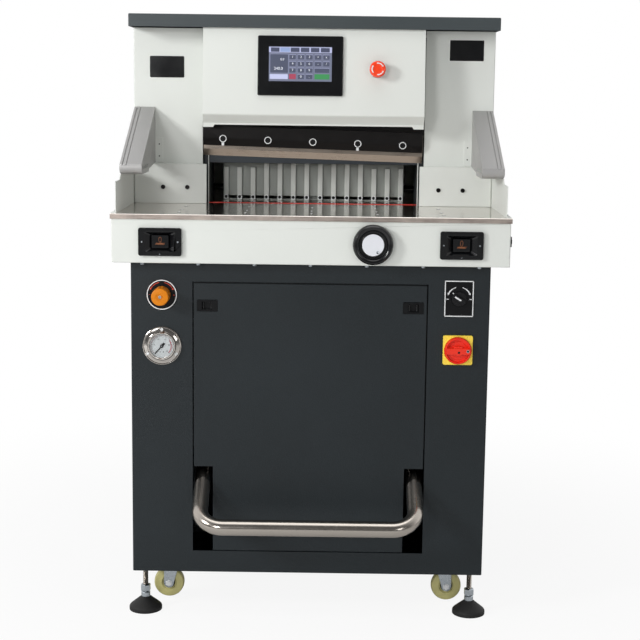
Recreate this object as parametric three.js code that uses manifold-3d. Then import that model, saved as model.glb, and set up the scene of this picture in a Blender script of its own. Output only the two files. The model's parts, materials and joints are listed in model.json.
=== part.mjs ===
// Hydraulic paper cutter with a motorised back gauge, as separate pieces.
// Millimetres: +X to the operator's right, +Y from the operator to the back, +Z up.
// Depths are first measured from the front edge of the table, then the whole
// machine is moved so that the middle of its footprint is the origin.
import * as THREE from 'three';
import { mergeVertices } from 'three/addons/utils/BufferGeometryUtils.js';
import Module from 'manifold-3d';

const wasm = await Module();
wasm.setup();

// Main sizes
const cuttingWidth = 530;
const feedDepth = 530;
const tableHeight = 981;
const tableWidth = 928;
const tableThickness = 12;
const knifeLine = 371;
const bodyWidth = 905;
const bodyFront = 355;
const bodyDepth = 270;
const capUnderside = 1416;
const cabinetWidth = 843;
const cabinetSetback = 35;
const cabinetDepth = 640;
const cabinetBottom = 114;
const cabinetTop = 869;

// Stock, clearances and how finely curves are cut
const panelSheet = 2;
const cabinetSheet = 3;
const heavyPlate = 6;
const clearance = 0.3;
const seamGap = 1.5;
const overrun = 5;
const weldDistance = 0.001;
const roundSides = 18;
const smallSides = 12;
const wheelSides = 14;
const ringSides = 8;
const boreSides = 6;
const arcSteps = 3;
const noseSteps = 8;

// Cabinet: openings, rear cover, pads and brackets
const doorWidth = 550;
const doorTop = 819;
const doorBottom = 168;
const doorReturn = 20;
const slotTop = 376;
const slotWidth = 48;
const rimWidth = 60;
const rearRim = 36;
const rearPanelLap = 15;
const louvreCount = 6;
const louvreHeight = 8;
const louvreLength = 240;
const louvrePitch = 26;
const louvreTop = 760;
const castorPad = 66;
const castorPadThickness = 4;
const bracketThickness = 7;
const bracketHeight = 64;

// Door latches
const latchInset = 33;
const latchDrop = 54.5;
const latchWindowWidth = 46;
const latchWindowHeight = 28;
const latchTravel = 8;
const latchDepth = 14;
const latchRecess = 6;
const latchRim = 5;
const latchFlange = 3;
const doorHookX = 150;
const doorHookWidth = 40;
const doorHookDrop = 8;

// Foot pedal: a bent tube welded to a cross shaft
const pedalTube = 38;
const pedalSpan = 506;
const pedalBend = 57;
const pedalReach = 123;
const pedalBarHeight = 263;
const pedalSlope = 30;
const pedalPivotDepth = 165;
const pedalShaft = 25;
const pedalHub = 52;
const pedalHubLength = 30;
const pedalShaftOverhang = 14;
const pedalSides = 16;
const bendSteps = 6;

// Levelling feet and castors
const footX = 397;
const footInset = 49;
const footPad = 80;
const footPadEdge = 10;
const footPadTop = 34;
const footNeck = 24;
const footStud = 13;
const footCollar = 22;
const footCollarTop = 46;
const footNutTop = 64;
const footNutFlats = 22;
const castorX = 324;
const castorInset = 120;
const castorTrail = 22;
const castorWheel = 75;
const castorWheelWidth = 25;
const castorFloorGap = 10.5;
const castorHead = 48;
const castorHeadHeight = 12;
const castorLeg = 4;
const castorLegWidth = 24;
const castorAxle = 8;
const castorBolt = 12;
const castorRimShare = 0.5;
const castorRimRecess = 3;
const castorTyreRound = 5;

// Cast frame, bed and front table ribs
const postThickness = 60;
const frameDepth = 149;
const frameTop = 1400;
const bridgeUnderside = 1280;
const bridgeWall = 22;
const bedInset = 74;
const bedFront = 340;
const bedWall = 22;
const bedPlate = 40;
const tableRib = 14;
const tableRibInset = 60;
const tableEdgeBevel = 1.5;
const postClearance = 4.5;
const screwChannel = 64;
const screwChannelDepth = 68;
const screwChannelFront = 14;

// Cutting stick, knife, knife beam and its drive
const stickWidth = 12;
const stickProud = 1;
const knifeThickness = 9.5;
const knifeLength = 556;
const knifeHeight = 70;
const knifeBevel = 17;
const knifeEdgeHeight = 1094;
const knifeTilt = 1.513;
const knifeShown = 26.5;
const beamThickness = 31;
const beamNose = 50;
const beamNoseBevel = 9;
const beamBackbone = 15;
const beamBackboneHeight = 100;
const beamWidth = 552;
const beamEarWidth = 44;
const beamEarLow = 60;
const beamEarBack = 12;
const knifeBoltCount = 5;
const knifeBoltPitch = 113;
const knifeBolt = 20;
const knifeBoltBore = 9;
const knifeBoltProud = 3;
const knifeBoltAboveEdge = 44;
const pinAboveEdge = 95;
const pullBarOffset = 30;
const pullBarWidth = 26;
const pullBarThickness = 21;
const pullBarPin = 16;
const pullBarTopMargin = 18;
const pullBarLow = 725;
const pullRod = 30;
const pullRodLow = 480;
const pullRodDepth = 382;
const knifeCylinder = 84;
const knifeCylinderTop = 600;
const knifeCylinderBoreLow = 300;
const knifeCylinderFlange = 110;
const knifeCylinderFlangeHeight = 16;

// Clamp, its guide boss and hydraulic cylinder
const clampUnderside = 1082;
const clampThickness = 58;
const clampHeight = 133;
const clampFootHeight = 22;
const clampFootThickness = 40;
const clampBossHeight = 33;
const clampBossWidth = 140;
const clampRodDepth = 450;
const clampRod = 36;
const clampRodTop = 1385;
const clampBarrel = 80;
const clampBarrelLow = 1225;
const clampBarrelTop = 1395;
const clampFlange = 116;
const clampFlangeHeight = 10;

// Back gauge, its screw, motor and the rear table
const gaugeFace = 470;
const gaugeWidth = 472;
const gaugeDepth = 45;
const gaugePlate = 12;
const gaugePlateTop = 99.5;
const gaugeSlotLow = 3;
const gaugeSlotHigh = 11;
const fingerCount = 14;
const shortFingers = 3;
const fingerPitch = 35.1;
const fingerWidth = 12.3;
const fingerProud = 10;
const fingerShortTop = 85;
const fingerRing = 11.8;
const fingerRingBore = 6;
const fingerRingHeight = 8;
const fingerRingProud = 1;
const gaugeFootHeight = 22;
const guideSlot = 24;
const guideSlotFront = 28;
const guideSlotRear = 20;
const nutWidth = 48;
const nutLength = 40;
const nutHeight = 44;
const leadScrew = 20;
const screwDrop = 56;
const rearTail = 30;
const rearTableHalf = 320;
const rearRail = 10;
const rearRailSpread = 62;
const rearRailHeight = 30;
const screwBracket = 8;
const screwBracketHalf = 48;
const screwBracketInset = 14;
const screwJournal = 12;
const motorBody = 70;
const motorLength = 105;
const motorDrop = 151;
const motorShaft = 12;
const motorFins = 3;
const motorFinDepth = 3;

// Upper covers, cap and rear hood
const coverInnerHalf = 279.5;
const panelFront = 325;
const panelHeight = 99;
const panelInnerHalf = 268;
const panelOuterHalf = 445;
const panelLip = 11;
const capHeight = 31;
const capFront = 274;
const capSideOverhang = 0.5;
const capRearOverhang = 12;
const hoodHalf = 310;
const hoodTop = 1180;
const hoodChamfer = 60;
const hoodTableMargin = 8;

// Console above the throat
const consoleWidth = 546;
const consoleTopFront = 285;
const consoleNoseFront = 265;
const consoleNoseHeight = 1205.5;
const consoleBandBack = 285;
const consoleBandHeight = 1184.5;
const consoleUnderside = 1180;
const consoleBack = 354.5;
const consoleNeckHeight = 1262;
const consoleTabWidth = 29;
const consoleTabDrop = 6;
const consoleTabSlant = 4;
const screenCentreX = -33.5;
const screenCentreRise = 120;
const screenWidth = 209;
const screenHeight = 145.5;
const screenProud = 7;
const screenFrame = 26;
const screenBezelDepth = 2.5;
const screenRear = 34;
const screenRearMargin = 9;
const screenCorner = 4;
const stopX = 155.5;
const stopRise = 112;
const stopHead = 40;
const stopHeadHeight = 14;
const stopDome = 5;
const stopStem = 20;
const stopTravel = 6;
const stopCollar = 30;
const stopCollarHeight = 12;
const stopNutDepth = 24;

// Side guards and light-curtain arms
const guardFront = 9;
const guardLow = 73.5;
const guardStepFront = 80;
const guardStepBack = 93;
const guardFoot = 10;
const armInset = 0.5;
const armWidth = 53;
const armTop = 1221;
const armBackFoot = 1146;
const armNoseFront = 78;
const armNoseTop = 1091;
const armNoseRadius = 24;
const armFloor = 1066;
const armHeel = 222;
const armHeelRise = 14;
const armGroove = 2.5;
const armGrooveInset = 8;
const armGroovePitch = 9;
const gussetThickness = 2.5;
const gussetFoot = 1082;
const gussetFlange = 19;
const gussetTop = 1145;

// Front apron and what is mounted in it
const apronFront = 4;
const apronInset = 2.5;
const apronBottom = 867;
const buttonInset = 113;
const controlRise = 50;
const buttonUnitWidth = 100;
const buttonUnitHeight = 65;
const buttonUnitCorner = 5;
const buttonUnitProud = 8;
const buttonFunnelShare = 0.72;
const buttonWidth = 40;
const buttonHeight = 31;
const buttonRecess = 11;
const buttonBoxDepth = 38;
const buttonBoxMargin = 12;
const buttonTravel = 3;
const buttonLength = 12;
const handwheelX = 143.6;
const handwheelRim = 94;
const handwheelProud = 22;
const handwheelDish = 7;
const handwheelDisc = 51;
const handwheelRing = 65;
const handwheelRound = 6;
const handwheelShaft = 10;
const handwheelHub = 60;
const handwheelHubLength = 24;

// Instruments on the cabinet face
const instrumentX = 348.5;
const regulatorHeight = 789;
const regulatorPlate = 73;
const regulatorKnob = 41;
const regulatorKnobProud = 45;
const regulatorKnobLength = 41;
const regulatorFlats = 12;
const regulatorFlute = 3;
const regulatorStem = 12;
const regulatorBody = 48;
const regulatorBodyDepth = 55;
const gaugeHeight = 668;
const gaugeFlange = 92.4;
const gaugeBezel = 67;
const gaugeDial = 55;
const gaugeProud = 15;
const gaugeDialDepth = 7;
const gaugeCase = 60;
const gaugeCaseDepth = 32;
const needleLength = 30;
const needleTail = 8;
const needleWidth = 2.4;
const needleThickness = 1.2;
const needleHub = 8;
const needlePost = 3;
const needleRest = 139;
const selectorHeight = 788.5;
const selectorPlateWidth = 70;
const selectorPlateHeight = 87;
const selectorKnob = 35;
const selectorKnobProud = 20;
const selectorKnobBase = 6;
const selectorGrip = 11;
const selectorRest = 45;
const switchHeight = 666.5;
const switchPlate = 70;
const switchHandle = 64;
const switchHandleProud = 26;
const switchHandleBase = 12;
const switchGrip = 17;
const switchPlateProud = 6;
const plateThickness = 2;
const plateCorner = 3;
const rearBlock = 42;
const rearBlockDepth = 50;
const rearBlockBore = 22;

// Hydraulic power pack inside the cabinet
const tankLeft = -190;
const tankWidth = 400;
const tankFront = 300;
const tankDepth = 240;
const tankHeight = 230;
const tankWall = 4;
const tankLid = 8;
const tankLidLip = 8;
const pumpMotor = 150;
const pumpMotorHeight = 210;
const pumpMotorFin = 8;
const pumpMotorFins = 3;
const pumpX = 110;
const valveBlock = 90;
const valveBlockHeight = 110;
const valveX = -90;
const valveCoil = 34;
const valveCoilLength = 60;

// Sizes that follow from the ones above
const throatHalf = cuttingWidth / 2;
const tableHalf = tableWidth / 2;
const tableUnderside = tableHeight - tableThickness;
const bodyHalf = bodyWidth / 2;
const armOuterHalf = bodyHalf - armInset;
const apronHalf = tableHalf - apronInset;
const buttonX = apronHalf - buttonInset;
const bedHalf = tableHalf - bedInset;
const bodyBack = bodyFront + bodyDepth;
const cabinetHalf = cabinetWidth / 2;
const cabinetBack = cabinetSetback + cabinetDepth;
const cabinetFloor = cabinetBottom + heavyPlate;
const doorHalf = doorWidth / 2;
const tongueHalf = doorHalf + seamGap - slotWidth;
const pedalRadius = pedalTube / 2;
const pedalSlopeAngle = THREE.MathUtils.degToRad(pedalSlope);
const pedalBarY = cabinetSetback - pedalReach;
const pedalPivotY = cabinetSetback + pedalPivotDepth;
const pedalPivotZ = pedalBarHeight + (pedalReach + pedalPivotDepth) * Math.tan(pedalSlopeAngle);
const frameFront = knifeLine + clearance;
const frameBack = frameFront + frameDepth;
const frameHalf = throatHalf + postThickness;
const rearEnd = knifeLine + feedDepth + gaugeDepth + rearTail;
const stickFront = knifeLine - stickWidth / 2;
const stickBack = knifeLine + stickWidth / 2;
const screwHeight = tableHeight - screwDrop;
const pullBarX = throatHalf + pullBarOffset;
const consoleHalf = consoleWidth / 2;
const controlHeight = apronBottom + controlRise;
const footY = cabinetSetback + footInset;
const footRearY = cabinetBack - footInset;
const castorY = cabinetSetback + castorInset;
const castorRearY = cabinetBack - castorInset;
const pedalFront = pedalBarY - pedalRadius;
const machineMiddle = (pedalFront + rearEnd) / 2;

// Finishes
const finishes = {
  ivory: { color: 0xdfe2dd, roughness: 0.45, metalness: 0 },
  charcoal: { color: 0x2e3335, roughness: 0.55, metalness: 0 },
  slate: { color: 0x454b4e, roughness: 0.5, metalness: 0 },
  castGrey: { color: 0x2a2c2e, roughness: 0.6, metalness: 0.2 },
  steel: { color: 0xb9b4ad, roughness: 0.25, metalness: 1 },
  knifeSteel: { color: 0x8d8178, roughness: 0.3, metalness: 1 },
  gaugeGrey: { color: 0x9da09c, roughness: 0.4, metalness: 0.3 },
  aluminium: { color: 0xa9a8ab, roughness: 0.45, metalness: 0.4 },
  black: { color: 0x161618, roughness: 0.4, metalness: 0 },
  zinc: { color: 0x9aa3a8, roughness: 0.35, metalness: 1 },
  red: { color: 0xd8321f, roughness: 0.35, metalness: 0 },
  yellow: { color: 0xf4c42a, roughness: 0.4, metalness: 0 },
  orange: { color: 0xdd8a12, roughness: 0.35, metalness: 0.1 },
  cream: { color: 0xcdcb9f, roughness: 0.5, metalness: 0 },
  motorGrey: { color: 0x6f7a80, roughness: 0.5, metalness: 0.2 },
};

// A closed three.js geometry as a solid with its faces turned outwards
function solid(geometry) {
  geometry.deleteAttribute('normal');
  geometry.deleteAttribute('uv');
  const welded = mergeVertices(geometry, weldDistance);
  const places = welded.getAttribute('position').array;
  const corners = welded.getIndex().array;
  const triangles = [];
  const a = new THREE.Vector3();
  const b = new THREE.Vector3();
  const c = new THREE.Vector3();
  let volume = 0;
  for (let i = 0; i < corners.length; i += 3) {
    const [p, q, r] = [corners[i], corners[i + 1], corners[i + 2]];
    if (p === q || q === r || r === p) continue;
    triangles.push(p, q, r);
    a.fromArray(places, p * 3);
    b.fromArray(places, q * 3);
    c.fromArray(places, r * 3);
    volume += a.dot(b.cross(c));
  }
  if (volume < 0) triangles.reverse();
  return new wasm.Manifold(new wasm.Mesh({
    numProp: 3,
    vertProperties: new Float32Array(places),
    triVerts: new Uint32Array(triangles),
  }));
}

// Joins and cuts of any number of solids
function joined(first, ...others) {
  return others.reduce((whole, next) => whole.add(next), first);
}

function cut(body, ...tools) {
  return tools.reduce((whole, next) => whole.subtract(next), body);
}

// A named mesh with a material of its own
function piece(name, shape, finish) {
  const { vertProperties, triVerts } = shape.getMesh();
  const geometry = new THREE.BufferGeometry();
  geometry.setAttribute('position', new THREE.BufferAttribute(new Float32Array(vertProperties), 3));
  geometry.setIndex(new THREE.BufferAttribute(new Uint32Array(triVerts), 1));
  geometry.computeVertexNormals();
  const mesh = new THREE.Mesh(geometry, new THREE.MeshStandardMaterial(finish));
  mesh.name = name;
  return mesh;
}

// Closed outlines
function outline(...points) {
  return new THREE.Shape(points.map(([x, y]) => new THREE.Vector2(x, y)));
}

function rectangle(left, right, low, high) {
  return outline([left, low], [right, low], [right, high], [left, high]);
}

function roundedRectangle(left, right, low, high, corner) {
  const shape = new THREE.Shape();
  const quarter = Math.PI / 2;
  shape.moveTo(left + corner, low);
  shape.absarc(right - corner, low + corner, corner, -quarter, 0);
  shape.absarc(right - corner, high - corner, corner, 0, quarter);
  shape.absarc(left + corner, high - corner, corner, quarter, Math.PI);
  shape.absarc(left + corner, low + corner, corner, Math.PI, Math.PI + quarter);
  shape.closePath();
  return shape;
}

function circle(x, y, radius) {
  const shape = new THREE.Shape();
  shape.absarc(x, y, radius, 0, Math.PI * 2);
  return shape;
}

function prism(shape, depth, steps = arcSteps) {
  return new THREE.ExtrudeGeometry(shape, { depth, bevelEnabled: false, curveSegments: steps });
}

// Outlines in the XZ, XY and YZ planes, drawn out along the third axis
function facing(shape, front, back, steps) {
  const geometry = prism(shape, back - front, steps);
  geometry.rotateX(Math.PI / 2);
  geometry.translate(0, back, 0);
  return solid(geometry);
}

function lying(shape, low, high, steps) {
  const geometry = prism(shape, high - low, steps);
  geometry.translate(0, 0, low);
  return solid(geometry);
}

function standing(shape, left, right, steps) {
  const geometry = prism(shape, right - left, steps);
  const axes = new THREE.Matrix4().makeBasis(
    new THREE.Vector3(0, 1, 0),
    new THREE.Vector3(0, 0, 1),
    new THREE.Vector3(1, 0, 0),
  );
  geometry.applyMatrix4(axes);
  geometry.translate(left, 0, 0);
  return solid(geometry);
}

function block(left, right, front, back, low, high) {
  const box = new THREE.BoxGeometry(right - left, back - front, high - low);
  box.translate((left + right) / 2, (front + back) / 2, (low + high) / 2);
  return solid(box);
}

// A block on one side of the machine, given by its distances from the middle plane
function sideBlock(side, inner, outer, front, back, low, high) {
  return block(Math.min(side * inner, side * outer), Math.max(side * inner, side * outer),
    front, back, low, high);
}

// An outline in the YZ plane drawn out on one side of the machine
function sideStanding(side, shape, inner, outer, steps) {
  return standing(shape, Math.min(side * inner, side * outer), Math.max(side * inner, side * outer), steps);
}

// A round bar between two points
function rod(from, to, radius, sides = roundSides, farRadius = radius) {
  const start = new THREE.Vector3(...from);
  const end = new THREE.Vector3(...to);
  const along = new THREE.Vector3().subVectors(end, start);
  const geometry = new THREE.CylinderGeometry(farRadius, radius, along.length(), sides);
  const up = new THREE.Vector3(0, 1, 0);
  const turn = new THREE.Quaternion().setFromUnitVectors(up, along.clone().normalize());
  geometry.applyQuaternion(turn);
  geometry.translate(...start.add(end).divideScalar(2).toArray());
  return solid(geometry);
}

// The corner radius of a bore whose flats, too, clear what turns in it
function boreAround(radius, sides = roundSides) {
  return (radius + clearance) / Math.cos(Math.PI / sides);
}

// A round tube along a flat route of points; across is the direction square to the route's plane
function sweptTube(route, across, radius, sides) {
  const places = [];
  const index = [];
  route.forEach((point, ring) => {
    const before = route[Math.max(ring - 1, 0)];
    const after = route[Math.min(ring + 1, route.length - 1)];
    const along = new THREE.Vector3().subVectors(after, before).normalize();
    const inPlane = new THREE.Vector3().crossVectors(across, along);
    for (let i = 0; i < sides; i += 1) {
      const angle = i / sides * Math.PI * 2;
      const corner = point.clone().addScaledVector(across, radius * Math.cos(angle))
        .addScaledVector(inPlane, radius * Math.sin(angle));
      places.push(...corner.toArray());
    }
  });
  const last = (route.length - 1) * sides;
  for (let i = 0; i < sides; i += 1) {
    const next = (i + 1) % sides;
    for (let ring = 0; ring < last; ring += sides) {
      index.push(ring + i, ring + next, ring + sides + next, ring + i, ring + sides + next, ring + sides + i);
    }
    if (i > 0 && next > 0) {
      index.push(0, next, i, last, last + i, last + next);
    }
  }
  const geometry = new THREE.BufferGeometry();
  geometry.setAttribute('position', new THREE.Float32BufferAttribute(places, 3));
  geometry.setIndex(index);
  return solid(geometry);
}

// A turned shape: pairs of radius and distance along the axis, from the axis back to it
function turned(points, sides = roundSides) {
  return new THREE.LatheGeometry(points.map(([radius, along]) => new THREE.Vector2(radius, along)), sides);
}

function turnedUp(x, y, points, sides) {
  const geometry = turned(points, sides);
  geometry.rotateX(Math.PI / 2);
  geometry.translate(x, y, 0);
  return solid(geometry);
}

// Turned about an axis that points at the operator: distances are measured forwards
function turnedForward(x, z, points, sides) {
  const geometry = turned(points, sides);
  geometry.rotateX(Math.PI);
  geometry.translate(x, 0, z);
  return solid(geometry);
}

function mirrorName(side) {
  return side < 0 ? 'left' : 'right';
}

const machine = new THREE.Group();
machine.position.set(0, -machineMiddle, 0);
const sides = [-1, 1];

// Cabinet shell: folded sheet with a heavy floor, a top rim and the pedal brackets
function cabinetShell() {
  const outer = block(-cabinetHalf, cabinetHalf, cabinetSetback, cabinetBack, cabinetBottom, cabinetTop);
  const inner = block(-cabinetHalf + cabinetSheet, cabinetHalf - cabinetSheet,
    cabinetSetback + cabinetSheet, cabinetBack - cabinetSheet, cabinetFloor, cabinetTop - heavyPlate);
  const topOpening = block(-cabinetHalf + rimWidth, cabinetHalf - rimWidth,
    cabinetSetback + rimWidth, cabinetBack - rimWidth,
    cabinetTop - heavyPlate - overrun, cabinetTop + overrun);
  const rearOpening = block(-cabinetHalf + rearRim, cabinetHalf - rearRim,
    cabinetBack - cabinetSheet - overrun, cabinetBack + overrun,
    cabinetBottom + rearRim + rearPanelLap, cabinetTop - rearRim);
  const doorOpening = block(-doorHalf - seamGap, doorHalf + seamGap,
    cabinetSetback - overrun, cabinetSetback + cabinetSheet + overrun,
    doorBottom - seamGap, doorTop + seamGap);
  let shell = cut(outer, inner, topOpening, rearOpening, doorOpening);
  for (const side of sides) {
    const bracketInner = pedalSpan / 2 + pedalHubLength;
    const low = pedalPivotZ - bracketHeight / 2;
    const bracketBack = pedalPivotY + bracketHeight / 2;
    const plate = sideBlock(side, bracketInner, bracketInner + bracketThickness,
      cabinetSetback + cabinetSheet / 2, bracketBack, low, low + bracketHeight);
    const bore = rod([side * (bracketInner - overrun), pedalPivotY, pedalPivotZ],
      [side * (bracketInner + bracketThickness + overrun), pedalPivotY, pedalPivotZ],
      pedalShaft / 2 + clearance);
    shell = joined(shell, cut(plate, bore));
    for (const y of [castorY, castorRearY]) {
      shell = joined(shell, block(side * castorX - castorPad / 2, side * castorX + castorPad / 2,
        y - castorPad / 2, y + castorPad / 2,
        cabinetBottom - castorPadThickness, cabinetBottom + heavyPlate / 2));
    }
  }
  const wallBack = cabinetSetback + cabinetSheet + overrun;
  const wallFront = cabinetSetback - overrun;
  return cut(shell,
    rod([-instrumentX, wallFront, gaugeHeight], [-instrumentX, wallBack, gaugeHeight],
      gaugeCase / 2 + seamGap),
    rod([-instrumentX, wallFront, regulatorHeight], [-instrumentX, wallBack, regulatorHeight],
      rearBlockBore / 2 + clearance),
    rod([instrumentX, wallFront, selectorHeight], [instrumentX, wallBack, selectorHeight],
      rearBlockBore / 2 + clearance),
    rod([instrumentX, wallFront, switchHeight], [instrumentX, wallBack, switchHeight],
      rearBlockBore / 2 + clearance));
}
machine.add(piece('cabinet_shell', cabinetShell(), finishes.charcoal));

// Rear panel with cooling slots, screwed over the rear opening
function rearPanel() {
  const half = cabinetHalf - rearRim + rearPanelLap;
  const low = cabinetBottom + rearRim;
  const high = cabinetTop - rearRim + rearPanelLap;
  let plate = facing(roundedRectangle(-half, half, low, high, plateCorner),
    cabinetBack, cabinetBack + panelSheet);
  for (let row = 0; row < louvreCount; row += 1) {
    const top = louvreTop - row * louvrePitch;
    for (const side of sides) {
      const middle = side * half / 2;
      plate = cut(plate, facing(
        rectangle(middle - louvreLength / 2, middle + louvreLength / 2, top - louvreHeight, top),
        cabinetBack - overrun, cabinetBack + panelSheet + overrun));
    }
  }
  return plate;
}
machine.add(piece('cabinet_rear_panel', rearPanel(), finishes.charcoal));

// Front door: a folded tray with a tongue that passes between the pedal arms
function doorOutline(inset) {
  const half = doorHalf - inset;
  const tongue = tongueHalf - inset;
  return outline(
    [-half, doorTop - inset], [-half, slotTop + inset], [-tongue, slotTop + inset],
    [-tongue, doorBottom + inset], [tongue, doorBottom + inset], [tongue, slotTop + inset],
    [half, slotTop + inset], [half, doorTop - inset],
  );
}

const latchHeight = doorTop - latchDrop;
const latchCentre = doorHalf - latchInset;

function frontDoor() {
  const skin = facing(doorOutline(0), cabinetSetback, cabinetSetback + doorReturn);
  const hollow = facing(doorOutline(panelSheet), cabinetSetback + panelSheet,
    cabinetSetback + doorReturn + overrun);
  const windows = sides.map((side) => block(
    side * latchCentre - latchWindowWidth / 2, side * latchCentre + latchWindowWidth / 2,
    cabinetSetback - overrun, cabinetSetback + panelSheet + overrun,
    latchHeight - latchWindowHeight / 2, latchHeight + latchWindowHeight / 2));
  const hookFront = cabinetSetback + cabinetSheet + clearance;
  const hooks = sides.map((side) => block(
    side * doorHookX - doorHookWidth / 2, side * doorHookX + doorHookWidth / 2,
    hookFront, hookFront + panelSheet, doorBottom - seamGap - doorHookDrop, doorBottom + panelSheet));
  return joined(cut(skin, hollow, ...windows), ...hooks);
}
machine.add(piece('front_door', frontDoor(), finishes.charcoal));

// Flush slide latches: the slider moves towards the middle to let the door go
function doorLatch(side) {
  const outer = latchCentre + latchWindowWidth / 2 - clearance;
  const inner = latchCentre - latchWindowWidth / 2 + clearance + latchTravel;
  const front = cabinetSetback + clearance;
  const high = latchHeight + latchWindowHeight / 2 - clearance;
  const low = latchHeight - latchWindowHeight / 2 + clearance;
  const slider = sideBlock(side, inner, outer, front, front + latchDepth, low, high);
  const recess = sideBlock(side, inner + latchRim, outer - latchRim, front - overrun, front + latchRecess,
    low + latchRim, high - latchRim);
  const flangeFront = cabinetSetback + panelSheet + clearance;
  const flange = sideBlock(side, inner, outer, flangeFront, front + latchDepth,
    low - latchFlange, high + latchFlange);
  return cut(joined(slider, flange), recess);
}
for (const side of sides) {
  machine.add(piece(`door_latch_${mirrorName(side)}`, doorLatch(side), finishes.black));
}

// Foot pedal: one tube with a straight bar, two bends and two arms, welded to the pivot shaft
function pedalBar() {
  const half = pedalSpan / 2;
  const straight = half - pedalBend;
  const along = new THREE.Vector3(0, Math.cos(pedalSlopeAngle), Math.sin(pedalSlopeAngle));
  const place = (x, up) => new THREE.Vector3(x, pedalBarY, pedalBarHeight).addScaledVector(along, up);
  const reach = (pedalReach + pedalPivotDepth) / Math.cos(pedalSlopeAngle);
  const route = [];
  for (const side of sides) {
    const arm = [place(side * half, reach)];
    for (let step = 0; step <= bendSteps; step += 1) {
      const angle = step / bendSteps * Math.PI / 2;
      arm.push(place(side * (straight + pedalBend * Math.cos(angle)), pedalBend * (1 - Math.sin(angle))));
    }
    route.push(...(side < 0 ? arm : arm.reverse()));
  }
  const across = new THREE.Vector3(1, 0, 0).cross(along);
  let shape = sweptTube(route, across, pedalRadius, pedalSides);
  for (const side of sides) {
    shape = joined(shape, rod([side * (half - pedalHubLength), pedalPivotY, pedalPivotZ],
      [side * (half + pedalHubLength - clearance), pedalPivotY, pedalPivotZ], pedalHub / 2, wheelSides));
  }
  const shaftHalf = half + pedalHubLength + pedalShaftOverhang;
  return joined(shape, rod([-shaftHalf, pedalPivotY, pedalPivotZ], [shaftHalf, pedalPivotY, pedalPivotZ],
    pedalShaft / 2, smallSides));
}
machine.add(piece('pedal_bar', pedalBar(), finishes.steel));

// Levelling foot: rubber-faced pad, ball collar, lock nut and threaded stud
function levellingFoot() {
  const body = turnedUp(0, 0, [
    [0, 0], [footPad / 2 - panelSheet, 0], [footPad / 2, panelSheet], [footPad / 2, footPadEdge],
    [footNeck / 2, footPadTop], [footCollar / 2, footPadTop], [footCollar / 2, footCollarTop],
    [footStud / 2, footCollarTop + panelSheet / 2], [footStud / 2, cabinetBottom], [0, cabinetBottom],
  ], wheelSides);
  const corner = footNutFlats / 2 / Math.cos(Math.PI / 6);
  const nut = rod([0, 0, footCollarTop + panelSheet / 2], [0, 0, footNutTop], corner, boreSides);
  const topNut = rod([0, 0, cabinetBottom - castorHeadHeight], [0, 0, cabinetBottom], corner, boreSides);
  return joined(body, nut, topNut);
}
const rows = [['front', footY, castorY], ['rear', footRearY, castorRearY]];
for (const [row, y] of rows) {
  for (const side of sides) {
    const foot = piece(`foot_${row}_${mirrorName(side)}`, levellingFoot(), finishes.black);
    foot.position.set(side * footX, y, 0);
    machine.add(foot);
  }
}

// Swivel castor, drawn about its swivel axis with the wheel trailing outwards
const castorHeadTop = cabinetBottom - castorPadThickness - clearance;
const castorAxleHeight = castorFloorGap + castorWheel / 2;
const castorLegInner = castorWheelWidth / 2 + panelSheet;

function castorFork(side) {
  const axleX = side * castorTrail;
  const half = castorLegWidth / 2;
  const headLow = castorHeadTop - castorHeadHeight;
  const plateLow = headLow - castorLeg;
  const outer = axleX + side * half;
  const inner = -side * castorHead / 2;
  const low = castorAxleHeight - half / 2;
  const cheek = outline(
    [inner, headLow], [outer, headLow], [outer, low],
    [axleX + side * half / 2, castorAxleHeight - half], [axleX - side * half / 2, castorAxleHeight - half],
    [axleX - side * half, low], [inner, plateLow - half],
  );
  let fork = rod([0, 0, headLow - castorLeg / 2], [0, 0, castorHeadTop], castorHead / 2, wheelSides);
  const legOuter = castorLegInner + castorLeg;
  fork = joined(fork,
    lying(rectangle(Math.min(inner, outer), Math.max(inner, outer), -legOuter, legOuter), plateLow, headLow));
  for (const leg of sides) {
    const near = leg * castorLegInner;
    const far = leg * legOuter;
    const cheekBody = facing(cheek, Math.min(near, far), Math.max(near, far));
    fork = joined(fork, cheekBody,
      rod([axleX, leg * (legOuter - castorLeg / 2), castorAxleHeight],
        [axleX, leg * (legOuter + castorLeg), castorAxleHeight], castorBolt / 2, boreSides));
  }
  const axle = rod([axleX, -legOuter, castorAxleHeight], [axleX, legOuter, castorAxleHeight],
    castorAxle / 2, smallSides);
  return joined(fork, axle);
}

function castorWheelShape() {
  const radius = castorWheel / 2;
  const half = castorWheelWidth / 2;
  const rim = radius * castorRimShare;
  const round = castorTyreRound;
  const bore = castorAxle / 2 + clearance;
  const wheel = turnedForward(0, 0, [
    [bore, -half], [bore + castorLeg, -half], [bore + castorLeg, castorRimRecess - half],
    [rim, castorRimRecess - half], [rim, -half], [radius - round, -half], [radius, round - half],
    [radius, half - round], [radius - round, half], [rim, half], [rim, half - castorRimRecess],
    [bore + castorLeg, half - castorRimRecess], [bore + castorLeg, half], [bore, half], [bore, -half],
  ], wheelSides);
  return wheel;
}
for (const [row, , y] of rows) {
  for (const side of sides) {
    const swivel = new THREE.Group();
    swivel.position.set(side * castorX, y, 0);
    swivel.add(piece(`castor_fork_${row}_${mirrorName(side)}`, castorFork(side), finishes.zinc));
    const wheel = piece(`castor_wheel_${row}_${mirrorName(side)}`, castorWheelShape(), finishes.cream);
    wheel.position.set(side * castorTrail, 0, castorAxleHeight);
    swivel.add(wheel);
    machine.add(swivel);
  }
}

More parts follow.
